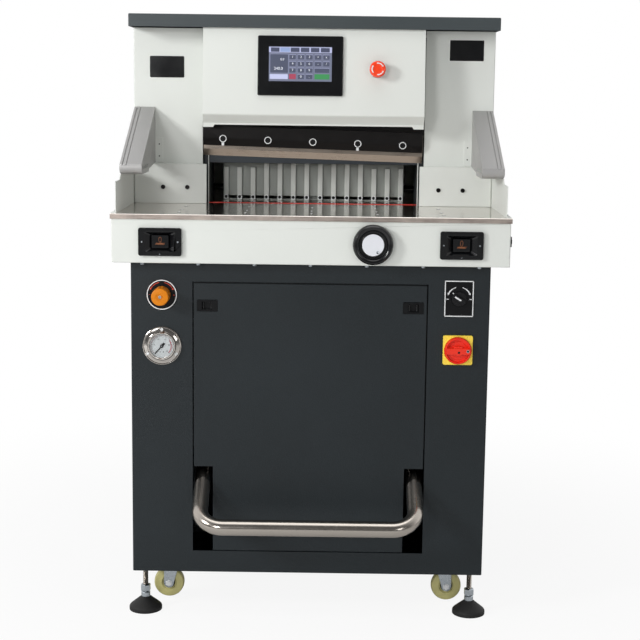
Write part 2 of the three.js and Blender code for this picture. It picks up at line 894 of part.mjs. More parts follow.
// Cast frame: two posts, the bridge above the throat and the bed below it
function mainFrame() {
  const posts = facing(rectangle(-frameHalf, frameHalf, cabinetTop, frameTop), frameFront, frameBack);
  const throat = block(-throatHalf, throatHalf, frameFront - overrun, frameBack + overrun,
    tableUnderside, bridgeUnderside);
  const pocket = block(-throatHalf + bridgeWall, throatHalf - bridgeWall, frameFront + bridgeWall,
    frameBack + overrun, bridgeUnderside + bridgeWall, frameTop - bridgeWall);
  const barrelSeat = rod([0, clampRodDepth, bridgeUnderside - overrun], [0, clampRodDepth, frameTop],
    clampBarrel / 2 + bridgeWall);
  const barrelBore = rod([0, clampRodDepth, bridgeUnderside - 2 * overrun],
    [0, clampRodDepth, frameTop + overrun], clampBarrel / 2 + clearance);
  const seat = cut(barrelSeat, block(-throatHalf, throatHalf, frameFront - overrun, frameBack + overrun,
    bridgeUnderside - 2 * overrun, bridgeUnderside));
  const bed = block(-bedHalf, bedHalf, bedFront, frameBack, cabinetTop, tableUnderside);
  const bedHollow = block(-bedHalf + bedWall, bedHalf - bedWall, bedFront + bedWall, frameBack - bedWall,
    cabinetTop - overrun, tableUnderside - bedPlate);
  const halfChannel = screwChannel / 2;
  const channel = block(-halfChannel, halfChannel, knifeLine + screwChannelFront, frameBack + overrun,
    tableUnderside - screwChannelDepth, tableUnderside + overrun);
  const channelWalls = block(-halfChannel - bedWall, halfChannel + bedWall, bedFront + bedWall / 2,
    frameBack - bedWall / 2, tableUnderside - screwChannelDepth - bedWall, tableUnderside - bedPlate / 2);
  const screwSeat = rod([0, bedFront + bedWall, screwHeight],
    [0, knifeLine + screwChannelFront + overrun, screwHeight], screwJournal / 2 + clearance);
  const half = pullBarWidth / 2 + clearance * 2;
  const pullSlot = block(-pullBarX - half, -pullBarX + half, frameFront - overrun,
    frameFront + pullBarThickness + clearance * 3, cabinetTop - overrun, bridgeUnderside);
  const body = joined(cut(posts, throat, pocket), seat, cut(bed, bedHollow), channelWalls);
  return cut(body, barrelBore, channel, screwSeat, pullSlot);
}
machine.add(piece('main_frame', mainFrame(), finishes.castGrey));

// Front table: one steel plate with wings beside the frame, ribbed underneath
function frontTable() {
  const wingBack = bodyBack;
  const cutout = frameHalf + postClearance;
  const edge = stickFront - clearance;
  const top = lying(outline(
    [-tableHalf, 0], [tableHalf, 0], [tableHalf, wingBack], [cutout, wingBack], [cutout, edge],
    [-cutout, edge], [-cutout, wingBack], [-tableHalf, wingBack],
  ), tableUnderside, tableHeight);
  const bevelTool = standing(outline(
    [-overrun, tableHeight - tableEdgeBevel - overrun], [tableEdgeBevel + overrun, tableHeight + overrun],
    [-overrun, tableHeight + overrun],
  ), -tableHalf - overrun, tableHalf + overrun);
  const ribFront = tableRibInset;
  const ribOuter = cabinetHalf - tableRib;
  const ribBack = bedFront - clearance;
  const ribs = [
    block(-ribOuter, ribOuter, ribFront, ribFront + tableRib, cabinetTop, tableUnderside),
    block(-bedHalf + bedWall, bedHalf - bedWall, ribBack - tableRib, ribBack, cabinetTop, tableUnderside),
  ];
  for (const side of sides) {
    ribs.push(sideBlock(side, ribOuter - tableRib / 2, ribOuter, ribFront, wingBack - tableRib,
      cabinetTop, tableUnderside));
    ribs.push(sideBlock(side, throatHalf / 2, throatHalf / 2 + tableRib, ribFront, ribBack,
      cabinetTop, tableUnderside));
  }
  return cut(joined(top, ...ribs), bevelTool);
}
machine.add(piece('front_table', frontTable(), finishes.steel));

// Cutting stick let in between the two tables under the knife edge
machine.add(piece('cutting_stick',
  block(-throatHalf + clearance, throatHalf - clearance, stickFront, stickBack, tableUnderside,
    tableHeight + stickProud),
  finishes.red));

// Rear table with the gauge's guide slot, under-rails and the screw's end bracket
function rearTable() {
  const front = stickBack + clearance;
  const narrow = throatHalf - clearance;
  const step = frameBack + postClearance;
  const plate = lying(outline(
    [-narrow, front], [narrow, front], [narrow, step], [rearTableHalf, step], [rearTableHalf, rearEnd],
    [-rearTableHalf, rearEnd], [-rearTableHalf, step], [-narrow, step],
  ), tableUnderside, tableHeight);
  const slot = block(-guideSlot / 2, guideSlot / 2, knifeLine + guideSlotFront, rearEnd - guideSlotRear,
    tableUnderside - overrun, tableHeight + overrun);
  const rails = sides.map((side) => sideBlock(side, rearRailSpread, rearRailSpread + rearRail,
    step, rearEnd - screwBracketInset, tableUnderside - rearRailHeight, tableUnderside));
  const bracketBack = rearEnd - screwBracketInset;
  const bracket = block(-screwBracketHalf, screwBracketHalf, bracketBack - screwBracket, bracketBack,
    tableHeight - motorDrop - motorBody / 2, tableUnderside);
  const screwBore = rod([0, bracketBack - screwBracket - overrun, screwHeight],
    [0, bracketBack + overrun, screwHeight], screwJournal / 2 + clearance);
  const motorBore = rod([0, bracketBack - screwBracket - overrun, tableHeight - motorDrop],
    [0, bracketBack + overrun, tableHeight - motorDrop], motorShaft / 2 + clearance);
  const keptSlot = cut(slot, block(-guideSlot, guideSlot, bracketBack - screwBracket, rearEnd,
    tableUnderside - 2 * overrun, tableUnderside));
  return cut(joined(plate, bracket, ...rails), keptSlot, screwBore, motorBore);
}
machine.add(piece('rear_table', rearTable(), finishes.steel));

// Lead screw with turned-down ends in the bed and the rear bracket
const bracketFace = rearEnd - screwBracketInset - screwBracket;
const screwFront = knifeLine + screwChannelFront + clearance;

function leadScrewShape() {
  const back = bracketFace - clearance;
  const body = rod([0, screwFront, screwHeight], [0, back, screwHeight], leadScrew / 2, smallSides);
  const journal = rod([0, screwFront - bedWall / 2, screwHeight],
    [0, bracketFace + screwBracket, screwHeight], screwJournal / 2, smallSides);
  return joined(body, journal);
}
machine.add(piece('lead_screw', leadScrewShape(), finishes.steel));

// Gauge drive motor hung below the screw on the rear bracket
function gaugeMotor() {
  const height = tableHeight - motorDrop;
  const back = bracketFace - clearance;
  const front = back - motorLength;
  const fin = motorLength / motorFins / 2;
  let body = rod([0, front, height], [0, back, height], motorBody / 2 - motorFinDepth, wheelSides);
  for (let ring = 0; ring < motorFins; ring += 1) {
    const start = front + ring * motorLength / motorFins;
    body = joined(body, rod([0, start, height], [0, start + fin, height], motorBody / 2, wheelSides));
  }
  return joined(body, rod([0, back - fin, height], [0, back + screwBracket, height],
    motorShaft / 2, smallSides));
}
machine.add(piece('gauge_motor', gaugeMotor(), finishes.motorGrey));

// Back gauge: a finned plate on a foot, with the screw's nut below the table
function backGauge() {
  const half = gaugeWidth / 2;
  const plateFront = gaugeFace + fingerProud;
  const plateBack = plateFront + gaugePlate;
  const back = gaugeFace + gaugeDepth;
  const low = tableHeight + clearance;
  const high = tableHeight + gaugePlateTop;
  const ringHeight = tableHeight + fingerRingHeight;
  let shape = block(-half, half, plateFront, plateBack, low, high);
  for (let i = 0; i < fingerCount; i += 1) {
    const x = (i - (fingerCount - 1) / 2) * fingerPitch;
    const short = i < shortFingers || i >= fingerCount - shortFingers;
    const top = short ? tableHeight + fingerShortTop : high;
    const slotEnd = x + fingerPitch - fingerWidth / 2;
    if (i < fingerCount - 1) {
      shape = cut(shape, block(x + fingerWidth / 2, slotEnd, plateFront - overrun, plateBack + overrun,
        tableHeight + gaugeSlotLow, tableHeight + gaugeSlotHigh));
    }
    shape = joined(shape,
      block(x - fingerWidth / 2, x + fingerWidth / 2, gaugeFace, plateFront + panelSheet, low, top),
      rod([x, gaugeFace - fingerRingProud, ringHeight], [x, gaugeFace + panelSheet, ringHeight],
        fingerRing / 2, ringSides));
    shape = cut(shape, rod([x, gaugeFace - fingerRingProud - overrun, ringHeight],
      [x, plateFront, ringHeight], fingerRingBore / 2, boreSides));
  }
  const foot = block(-half, half, plateBack - panelSheet, back, tableHeight + gaugeSlotHigh,
    tableHeight + gaugeFootHeight);
  const stemHalf = guideSlot / 2 - clearance;
  const nutFront = gaugeFace + (gaugeDepth - nutLength) / 2;
  const stem = block(-stemHalf, stemHalf, nutFront, nutFront + nutLength, screwHeight,
    tableHeight + gaugeFootHeight);
  const nut = block(-nutWidth / 2, nutWidth / 2, nutFront, nutFront + nutLength,
    screwHeight - nutHeight / 2, screwHeight + nutHeight / 2);
  const bore = rod([0, nutFront - overrun, screwHeight], [0, nutFront + nutLength + overrun, screwHeight],
    boreAround(leadScrew / 2, smallSides), smallSides);
  return cut(joined(shape, foot, stem, nut), bore);
}
machine.add(piece('back_gauge', backGauge(), finishes.gaugeGrey));

// Clamp beam with its foot, guide boss and piston rod
function clampBeam() {
  const front = knifeLine + clearance * 2;
  const half = throatHalf - clearance * 2;
  const top = clampUnderside + clampHeight;
  const web = block(-half, half, front, front + clampFootThickness, clampUnderside, top);
  const foot = block(-half, half, front, front + clampThickness, clampUnderside,
    clampUnderside + clampFootHeight);
  const rib = block(-half, half, front, front + clampThickness, top - clampBossHeight, top);
  const boss = block(-clampBossWidth / 2, clampBossWidth / 2, front,
    clampRodDepth + clampRod, top - clampBossHeight, top);
  const piston = rod([0, clampRodDepth, top - clampBossHeight / 2], [0, clampRodDepth, clampRodTop],
    clampRod / 2);
  return joined(web, foot, rib, boss, piston);
}
machine.add(piece('clamp_beam', clampBeam(), finishes.slate));

// Clamp cylinder hung in the bridge by its top flange
function clampCylinder() {
  const bore = clampRod / 2 + clearance;
  return turnedUp(0, clampRodDepth, [
    [bore, clampBarrelLow], [clampBarrel / 2, clampBarrelLow], [clampBarrel / 2, frameTop],
    [clampFlange / 2, frameTop], [clampFlange / 2, frameTop + clampFlangeHeight],
    [0, frameTop + clampFlangeHeight], [0, clampBarrelTop], [bore, clampBarrelTop], [bore, clampBarrelLow],
  ]);
}
machine.add(piece('clamp_cylinder', clampCylinder(), finishes.motorGrey));

// Knife and knife beam, drawn level about the pivot pin and then tilted
const knifeTiltAngle = THREE.MathUtils.degToRad(knifeTilt);
const edgeAtPin = knifeEdgeHeight + pullBarX * Math.tan(knifeTiltAngle);
const pinHeight = edgeAtPin + pinAboveEdge;
const knifeGroup = new THREE.Group();
knifeGroup.position.set(-pullBarX, 0, pinHeight);
knifeGroup.rotation.y = knifeTiltAngle;
const edgeLow = -pinAboveEdge;
const middleX = pullBarX;

function knifeBlade() {
  const front = knifeLine - knifeThickness;
  const profile = outline(
    [knifeLine, edgeLow], [knifeLine, edgeLow + knifeHeight], [front, edgeLow + knifeHeight],
    [front, edgeLow + knifeBevel],
  );
  return standing(profile, middleX - knifeLength / 2, middleX + knifeLength / 2);
}
knifeGroup.add(piece('knife', knifeBlade(), finishes.knifeSteel));

function knifeBeam() {
  const half = beamWidth / 2;
  const front = knifeLine - beamThickness;
  const seatFront = knifeLine - knifeThickness - clearance;
  const low = edgeLow + knifeShown;
  const noseTop = low + beamNose;
  const top = low + beamBackboneHeight;
  const backboneFront = knifeLine - beamBackbone;
  const bladeTop = edgeLow + knifeHeight + clearance;
  const profile = outline(
    [front + beamNoseBevel, low], [seatFront, low], [seatFront, bladeTop], [knifeLine, bladeTop],
    [knifeLine, top], [backboneFront, top], [backboneFront, noseTop], [front, noseTop],
    [front, low + beamNoseBevel * 2],
  );
  let beam = standing(profile, middleX - half, middleX + half);
  const earFront = knifeLine - beamEarBack;
  for (const side of sides) {
    beam = joined(beam, block(
      Math.min(middleX + side * (half - overrun), middleX + side * (half + beamEarWidth)),
      Math.max(middleX + side * (half - overrun), middleX + side * (half + beamEarWidth)),
      earFront, knifeLine, Math.max(edgeLow + beamEarLow, bladeTop), top));
  }
  for (let i = 0; i < knifeBoltCount; i += 1) {
    const x = middleX + (i - (knifeBoltCount - 1) / 2) * knifeBoltPitch;
    const z = edgeLow + knifeBoltAboveEdge;
    const head = cut(
      rod([x, front - knifeBoltProud, z], [x, seatFront, z], knifeBolt / 2, smallSides),
      rod([x, front - knifeBoltProud - overrun, z], [x, front + knifeBoltProud, z],
        knifeBoltBore / 2, boreSides));
    beam = joined(beam, head);
  }
  const pinBore = rod([0, earFront - overrun, 0], [0, knifeLine + overrun, 0],
    pullBarPin / 2 + clearance, smallSides);
  return cut(beam, pinBore);
}
knifeGroup.add(piece('knife_beam', knifeBeam(), finishes.black));
machine.add(knifeGroup);

// Pull bar with its pin and piston rod: it runs down the left post into the cylinder
function pullBar() {
  const back = frameFront + clearance + pullBarThickness;
  const bar = block(-pullBarX - pullBarWidth / 2, -pullBarX + pullBarWidth / 2, frameFront + clearance, back,
    pullBarLow, pinHeight + pullBarTopMargin);
  const pin = rod([-pullBarX, knifeLine - beamEarBack, pinHeight], [-pullBarX, back, pinHeight],
    pullBarPin / 2, smallSides);
  const piston = rod([-pullBarX, pullRodDepth, pullRodLow], [-pullBarX, pullRodDepth, pullBarLow],
    pullRod / 2);
  const knuckle = rod([-pullBarX, pullRodDepth, pullBarLow],
    [-pullBarX, pullRodDepth, pullBarLow + pullRod], pullRod / 2);
  return joined(bar, pin, piston, knuckle);
}
machine.add(piece('pull_bar', pullBar(), finishes.steel));

// Knife cylinder standing on the cabinet floor, open at the top for its rod
function knifeCylinderShape() {
  const bore = pullRod / 2 + clearance;
  return turnedUp(-pullBarX, pullRodDepth, [
    [0, cabinetFloor], [knifeCylinderFlange / 2, cabinetFloor],
    [knifeCylinderFlange / 2, cabinetFloor + knifeCylinderFlangeHeight],
    [knifeCylinder / 2, cabinetFloor + knifeCylinderFlangeHeight], [knifeCylinder / 2, knifeCylinderTop],
    [bore, knifeCylinderTop], [bore, knifeCylinderBoreLow], [0, knifeCylinderBoreLow],
  ]);
}
machine.add(piece('knife_cylinder', knifeCylinderShape(), finishes.motorGrey));

// Side covers: folded channels round the posts, standing on the table wings
const coverTop = capUnderside + capHeight - panelSheet - clearance;

function sideCover(side) {
  const low = tableHeight + clearance;
  const shell = sideBlock(side, coverInnerHalf, bodyHalf, bodyFront, bodyBack, low, coverTop);
  const inside = sideBlock(side, 0, bodyHalf - panelSheet, bodyFront + panelSheet, bodyBack - panelSheet,
    low - overrun, coverTop + overrun);
  const rearNotch = sideBlock(side, 0, frameHalf + postClearance, bodyBack - panelSheet - overrun,
    bodyBack + overrun, low - overrun, hoodTop);
  return cut(shell, inside, rearNotch);
}
for (const side of sides) {
  machine.add(piece(`side_cover_${mirrorName(side)}`, sideCover(side), finishes.ivory));
}

// Lower front panels beside the throat
function frontPanel(side) {
  const low = tableHeight + clearance;
  const high = tableHeight + panelHeight;
  const back = bodyFront - clearance;
  const face = sideBlock(side, panelInnerHalf, panelOuterHalf,
    panelFront, panelFront + panelSheet, low, high);
  const roof = sideBlock(side, coverInnerHalf, panelOuterHalf, panelFront, back, high - panelSheet, high);
  const outer = sideBlock(side, panelOuterHalf - panelSheet, panelOuterHalf, panelFront, back, low, high);
  const inner = sideBlock(side, panelInnerHalf, panelInnerHalf + panelSheet, panelFront,
    panelFront + panelLip, low, high);
  const lip = sideBlock(side, panelInnerHalf, coverInnerHalf + panelSheet, panelFront,
    panelFront + panelLip, high - panelSheet, high);
  return joined(face, roof, outer, inner, lip);
}
for (const side of sides) {
  machine.add(piece(`front_panel_${mirrorName(side)}`, frontPanel(side), finishes.ivory));
}

// Top cap: a shallow tray turned upside down
function topCap() {
  const half = bodyHalf + capSideOverhang + panelSheet;
  const back = bodyBack + capRearOverhang;
  const high = capUnderside + capHeight;
  const tray = block(-half, half, capFront, back, capUnderside, high);
  const hollow = block(-half + panelSheet, half - panelSheet, capFront + panelSheet, back - panelSheet,
    capUnderside - overrun, high - panelSheet);
  return cut(tray, hollow);
}
machine.add(piece('top_cap', topCap(), finishes.slate));

// Rear hood: closes the back of the body and covers the rear table
function rearHood() {
  const low = tableHeight + clearance;
  const end = rearEnd - hoodTableMargin;
  const front = bodyBack + clearance;
  const profile = (inset) => outline(
    [front, low - (inset ? overrun : 0)], [end - inset, low - (inset ? overrun : 0)],
    [end - inset, hoodTop - hoodChamfer - inset / 2], [end - hoodChamfer - inset / 2, hoodTop - inset],
    [front, hoodTop - inset],
  );
  const shell = standing(profile(0), -hoodHalf, hoodHalf);
  const inside = standing(profile(panelSheet), -hoodHalf + panelSheet, hoodHalf - panelSheet);
  const mouth = block(-hoodHalf + panelSheet, hoodHalf - panelSheet, front - overrun, front + overrun,
    low - overrun, hoodTop - panelSheet);
  const back = block(-hoodHalf, hoodHalf, front, front + panelSheet, hoodTop - panelSheet, coverTop);
  return joined(cut(shell, inside, mouth), back);
}
machine.add(piece('rear_hood', rearHood(), finishes.ivory));

// Console: a leaning folded cover that carries the screen and the stop button
const consoleLean = Math.atan((consoleTopFront - consoleNoseFront) / (capUnderside - consoleNoseHeight));
const consoleTop = coverTop - clearance;
const consoleFrame = new THREE.Group();
consoleFrame.position.set(0, consoleNoseFront, consoleNoseHeight);
consoleFrame.rotation.x = -consoleLean;
consoleFrame.updateMatrix();

// A solid drawn in the leaning frame, as it stands in the machine
function leaning(geometry) {
  geometry.applyMatrix4(consoleFrame.matrix);
  return solid(geometry);
}

function consoleProfile(inset) {
  const lean = (height) => consoleNoseFront + (height - consoleNoseHeight) * Math.tan(consoleLean);
  const extra = inset ? overrun : 0;
  return outline(
    [frameFront - clearance + extra, consoleTop - inset],
    [lean(consoleTop) + inset, consoleTop - inset],
    [consoleNoseFront + inset, consoleNoseHeight + inset / 2],
    [consoleBandBack + inset, consoleBandHeight + inset],
    [consoleBandBack + inset, consoleUnderside + inset],
    [consoleBack + extra, consoleUnderside + inset],
    [consoleBack + extra, consoleNeckHeight + (inset ? inset : 0)],
    [frameFront - clearance + extra, consoleNeckHeight + inset],
  );
}

function screenOpening(margin, depth) {
  const half = screenWidth / 2 - screenRearMargin + margin;
  const halfHeight = screenHeight / 2 - screenRearMargin + margin;
  const box = new THREE.BoxGeometry(2 * half, depth, 2 * halfHeight);
  box.translate(screenCentreX, 0, screenCentreRise);
  return box;
}

function consoleCover() {
  const shell = standing(consoleProfile(0), -consoleHalf, consoleHalf);
  const inside = standing(consoleProfile(panelSheet), -consoleHalf + panelSheet, consoleHalf - panelSheet);
  const stopHole = new THREE.CylinderGeometry(stopStem / 2 + clearance, stopStem / 2 + clearance,
    consoleNoseFront / 4, smallSides);
  stopHole.translate(stopX, 0, stopRise);
  let cover = cut(shell, inside, leaning(screenOpening(seamGap, consoleNoseFront / 4)), leaning(stopHole));
  for (const side of sides) {
    const inner = side * (consoleHalf - consoleTabWidth);
    const outer = side * consoleHalf;
    const low = consoleUnderside - consoleTabDrop;
    const tab = facing(outline(
      [inner, consoleUnderside + panelSheet / 2], [inner + side * consoleTabSlant, low], [outer, low],
      [outer, consoleUnderside + panelSheet / 2],
    ), consoleBandBack, consoleBandBack + panelSheet);
    cover = joined(cover, tab);
  }
  return cover;
}
machine.add(piece('console_cover', consoleCover(), finishes.ivory));

// Touch panel: a framed face in front of the console and its box behind
function touchPanel() {
  const left = screenCentreX - screenWidth / 2;
  const right = screenCentreX + screenWidth / 2;
  const low = screenCentreRise - screenHeight / 2;
  const high = screenCentreRise + screenHeight / 2;
  const face = facing(roundedRectangle(left, right, low, high, screenCorner), -screenProud, -clearance);
  const glass = block(left + screenFrame, right - screenFrame, -screenProud - overrun,
    -screenProud + screenBezelDepth, low + screenFrame, high - screenFrame);
  const rear = solid(screenOpening(0, screenRear));
  const rearPart = cut(rear, block(left, right, -screenRear, -clearance - panelSheet / 4, low, high));
  return cut(joined(face, rearPart), glass);
}
consoleFrame.add(piece('touch_panel', touchPanel(), finishes.black));

// Emergency stop: collar through the console and a mushroom head that pushes in
function stopCollarShape() {
  const bore = stopStem / 2 - panelSheet * 2 + clearance;
  return turnedForward(stopX, stopRise, [
    [bore, clearance], [stopCollar / 2, clearance], [stopCollar / 2, stopCollarHeight - panelSheet],
    [stopCollar / 2 - panelSheet, stopCollarHeight], [bore, stopCollarHeight], [bore, clearance],
  ]);
}

function stopCollarWhole() {
  const tube = turnedForward(stopX, stopRise, [
    [0, -stopNutDepth], [stopStem / 2, -stopNutDepth], [stopStem / 2, clearance + panelSheet],
    [0, clearance + panelSheet],
  ], smallSides);
  const bore = turnedForward(stopX, stopRise, [
    [0, -stopNutDepth + panelSheet], [stopStem / 2 - panelSheet * 2 + clearance, -stopNutDepth + panelSheet],
    [stopStem / 2 - panelSheet * 2 + clearance, stopCollarHeight + overrun], [0, stopCollarHeight + overrun],
  ]);
  return cut(joined(stopCollarShape(), tube), bore);
}
consoleFrame.add(piece('stop_collar', stopCollarWhole(), finishes.black));

function stopButton() {
  const stem = stopStem / 2 - panelSheet * 2;
  const face = stopCollarHeight + stopTravel + clearance;
  const top = face + stopHeadHeight;
  return turnedForward(stopX, stopRise, [
    [0, -stopNutDepth + panelSheet + stopTravel + clearance],
    [stem, -stopNutDepth + panelSheet + stopTravel + clearance], [stem, face],
    [stopHead / 2 - panelSheet, face], [stopHead / 2, face + panelSheet], [stopHead / 2, top - stopDome],
    [stopHead / 2 - stopDome / 2, top - stopDome / 3], [stopHead / 4, top], [0, top],
  ]);
}
consoleFrame.add(piece('stop_button', stopButton(), finishes.red));
machine.add(consoleFrame);

// Side guards: thin upright sheets with a stepped top edge and a screwed foot
function sideGuard(side) {
  const back = bodyFront - clearance;
  const profile = outline(
    [guardFront, tableHeight], [back, tableHeight], [back, armFloor - clearance],
    [guardStepBack, armFloor - clearance], [guardStepFront, tableHeight + guardLow],
    [guardFront, tableHeight + guardLow],
  );
  const inner = bodyHalf - panelSheet;
  const sheet = sideStanding(side, profile, inner, bodyHalf);
  const foot = sideBlock(side, inner, bodyHalf + guardFoot, guardFront, back, tableHeight,
    tableHeight + panelSheet);
  return joined(sheet, foot);
}
for (const side of sides) {
  machine.add(piece(`side_guard_${mirrorName(side)}`, sideGuard(side), finishes.ivory));
}

// Light-curtain arms: a grooved profile with a rounded nose on a sheet gusset
function lightArm(side) {
  const back = bodyFront - clearance;
  const shape = new THREE.Shape();
  shape.moveTo(back, armTop);
  shape.lineTo(back, armBackFoot);
  shape.lineTo(armHeel, armFloor + armHeelRise);
  shape.lineTo(armHeel - armHeelRise / 2, armFloor);
  shape.lineTo(armNoseFront + armNoseRadius, armFloor);
  shape.quadraticCurveTo(armNoseFront - armNoseRadius / 3, armFloor, armNoseFront, armNoseTop);
  shape.closePath();
  const outer = armOuterHalf;
  const inner = armOuterHalf - armWidth;
  const arm = sideStanding(side, shape, inner, outer, noseSteps);
  const slope = Math.atan((armTop - armNoseTop) / (back - armNoseFront));
  const reach = Math.hypot(armTop - armNoseTop, back - armNoseFront);
  let grooved = arm;
  for (const inset of [armGrooveInset, armGrooveInset + armGroovePitch]) {
    const box = new THREE.BoxGeometry(armGroove, reach * 2, armGroove * 2);
    box.rotateX(slope);
    box.translate(side * (outer - inset), (back + armNoseFront) / 2, (armTop + armNoseTop) / 2);
    grooved = cut(grooved, solid(box));
  }
  const gusset = sideStanding(side, outline(
    [back, gussetTop], [armHeel, armFloor + armHeelRise - panelSheet], [armHeel, armFloor + armHeelRise / 2],
    [back, gussetFoot],
  ), inner, inner + gussetThickness);
  const overlap = block(-tableHalf, tableHalf, back - gussetThickness, back, armBackFoot - overrun, armTop);
  const flange = sideBlock(side, inner - gussetFlange, inner + gussetThickness, back - gussetThickness, back,
    gussetFoot, gussetTop);
  return joined(grooved, gusset, flange, overlap.intersect(arm));
}
for (const side of sides) {
  machine.add(piece(`light_arm_${mirrorName(side)}`, lightArm(side), finishes.aluminium));
}

// Apron below the table: one folded sheet round the front and both sides
function apron() {
  const half = apronHalf;
  const high = tableUnderside - clearance;
  const outer = block(-half, half, apronFront, bodyBack, apronBottom, high);
  const inner = block(-half + panelSheet, half - panelSheet, apronFront + panelSheet, bodyBack + overrun,
    apronBottom + panelSheet, high + overrun);
  const lipInner = cabinetHalf + clearance;
  const below = block(-lipInner, lipInner, cabinetSetback - clearance, bodyBack + overrun,
    apronBottom - overrun, apronBottom + panelSheet + overrun);
  const buttonHoles = sides.map((side) => block(
    side * buttonX - buttonUnitWidth / 2 + buttonBoxMargin - clearance,
    side * buttonX + buttonUnitWidth / 2 - buttonBoxMargin + clearance,
    apronFront - overrun, apronFront + panelSheet + overrun,
    controlHeight - buttonUnitHeight / 2 + buttonBoxMargin - clearance,
    controlHeight + buttonUnitHeight / 2 - buttonBoxMargin + clearance));
  const wheelHole = rod([handwheelX, apronFront - overrun, controlHeight],
    [handwheelX, apronFront + panelSheet + overrun, controlHeight], handwheelShaft / 2 + clearance);
  const bearing = cut(
    rod([handwheelX, apronFront + panelSheet / 2, controlHeight],
      [handwheelX, apronFront + handwheelHubLength + panelSheet, controlHeight], handwheelHub / 2),
    rod([handwheelX, apronFront - overrun, controlHeight],
      [handwheelX, apronFront + handwheelHubLength + clearance, controlHeight],
      handwheelShaft / 2 + clearance));
  return joined(cut(outer, inner, below, ...buttonHoles, wheelHole), bearing);
}
machine.add(piece('apron', apron(), finishes.ivory));

// Two-hand cut buttons: a funnel-shaped housing and a sprung key in each
function buttonHousing() {
  const halfWidth = buttonUnitWidth / 2;
  const halfHeight = buttonUnitHeight / 2;
  const face = facing(roundedRectangle(-halfWidth, halfWidth, -halfHeight, halfHeight, buttonUnitCorner),
    -buttonUnitProud, 0);
  const box = block(-halfWidth + buttonBoxMargin, halfWidth - buttonBoxMargin, -panelSheet, buttonBoxDepth,
    -halfHeight + buttonBoxMargin, halfHeight - buttonBoxMargin);
  const keyHalf = buttonWidth / 2 + clearance;
  const keyHalfHeight = buttonHeight / 2 + clearance;
  const well = block(-keyHalf, keyHalf, -buttonUnitProud - overrun,
    buttonRecess + buttonLength + buttonTravel, -keyHalfHeight, keyHalfHeight);
  const mouthHalf = halfWidth * buttonFunnelShare;
  const mouthHalfHeight = halfHeight * buttonFunnelShare;
  const funnelDepth = buttonUnitProud + buttonRecess / 2;
  const corners = [];
  for (const [w, h, y] of [[mouthHalf, mouthHalfHeight, -buttonUnitProud - clearance],
    [keyHalf, keyHalfHeight, -buttonUnitProud + funnelDepth]]) {
    corners.push([-w, y, -h], [w, y, -h], [w, y, h], [-w, y, h]);
  }
  const funnel = new THREE.BufferGeometry();
  funnel.setAttribute('position', new THREE.Float32BufferAttribute(corners.flat(), 3));
  funnel.setIndex([0, 1, 2, 0, 2, 3, 4, 6, 5, 4, 7, 6, 0, 5, 1, 0, 4, 5, 1, 6, 2, 1, 5, 6,
    2, 7, 3, 2, 6, 7, 3, 4, 0, 3, 7, 4]);
  return cut(joined(face, box), well, solid(funnel));
}

function cutButton() {
  const half = buttonWidth / 2;
  const halfHeight = buttonHeight / 2;
  return facing(roundedRectangle(-half, half, -halfHeight, halfHeight, plateCorner),
    0, buttonRecess + buttonLength - clearance);
}
for (const side of sides) {
  const unit = new THREE.Group();
  unit.position.set(side * buttonX, apronFront, controlHeight);
  unit.add(piece(`button_housing_${mirrorName(side)}`, buttonHousing(), finishes.black));
  const key = piece(`cut_button_${mirrorName(side)}`, cutButton(), finishes.black);
  unit.add(key);
  machine.add(unit);
}

// Handwheel for the back gauge: dished rim, raised disc and shaft through the apron
function handwheel() {
  const rim = handwheelRim / 2;
  const ring = handwheelRing / 2;
  const disc = handwheelDisc / 2;
  const front = handwheelProud;
  return turnedForward(0, 0, [
    [0, -handwheelHubLength], [handwheelShaft / 2, -handwheelHubLength], [handwheelShaft / 2, clearance],
    [rim - handwheelRound, clearance], [rim, handwheelRound], [rim, front - handwheelRound],
    [rim - handwheelRound / 2, front - handwheelRound / 3], [rim - handwheelRound, front],
    [ring + panelSheet, front - panelSheet], [ring, front - handwheelDish],
    [disc + panelSheet, front - handwheelDish],
    [disc, front - panelSheet], [0, front - panelSheet],
  ], roundSides);
}
const wheelBody = piece('handwheel', handwheel(), finishes.black);
wheelBody.position.set(handwheelX, apronFront, controlHeight);
machine.add(wheelBody);

// Pressure regulator: dial plate with its valve behind and a fluted knob
function rearBody(depth) {
  return joined(
    rod([0, -panelSheet / 2, 0], [0, cabinetSheet + overrun, 0], rearBlockBore / 2, smallSides),
    block(-rearBlock / 2, rearBlock / 2, cabinetSheet + clearance, cabinetSheet + clearance + depth,
      -rearBlock / 2, rearBlock / 2));
}

const regulator = new THREE.Group();
regulator.position.set(-instrumentX, cabinetSetback, regulatorHeight);
const regulatorPlateShape = joined(
  rod([0, -plateThickness, 0], [0, 0, 0], regulatorPlate / 2),
  rod([0, plateThickness - regulatorKnobProud + cabinetSheet, 0], [0, 0, 0], regulatorStem / 2, smallSides),
  rearBody(regulatorBodyDepth));
regulator.add(piece('regulator_plate', regulatorPlateShape, finishes.black));

function regulatorKnobShape() {
  const radius = regulatorKnob / 2;
  const back = -plateThickness - clearance;
  const front = -regulatorKnobProud;
  let knob = rod([0, front + panelSheet, 0], [0, back, 0], radius, roundSides);
  knob = joined(knob,
    rod([0, front, 0], [0, front + panelSheet, 0], radius - panelSheet, roundSides, radius));
  for (let i = 0; i < regulatorFlats; i += 1) {
    const angle = i / regulatorFlats * Math.PI * 2;
    const x = Math.cos(angle) * radius;
    const z = Math.sin(angle) * radius;
    knob = cut(knob, rod([x, front - overrun, z], [x, back - regulatorKnobLength / 4, z],
      regulatorFlute / 2, ringSides));
  }
  const bore = rod([0, plateThickness - regulatorKnobProud + cabinetSheet - clearance, 0],
    [0, back + overrun, 0], regulatorStem / 2 + clearance, smallSides);
  return cut(knob, bore);
}
regulator.add(piece('regulator_knob', regulatorKnobShape(), finishes.orange));
machine.add(regulator);

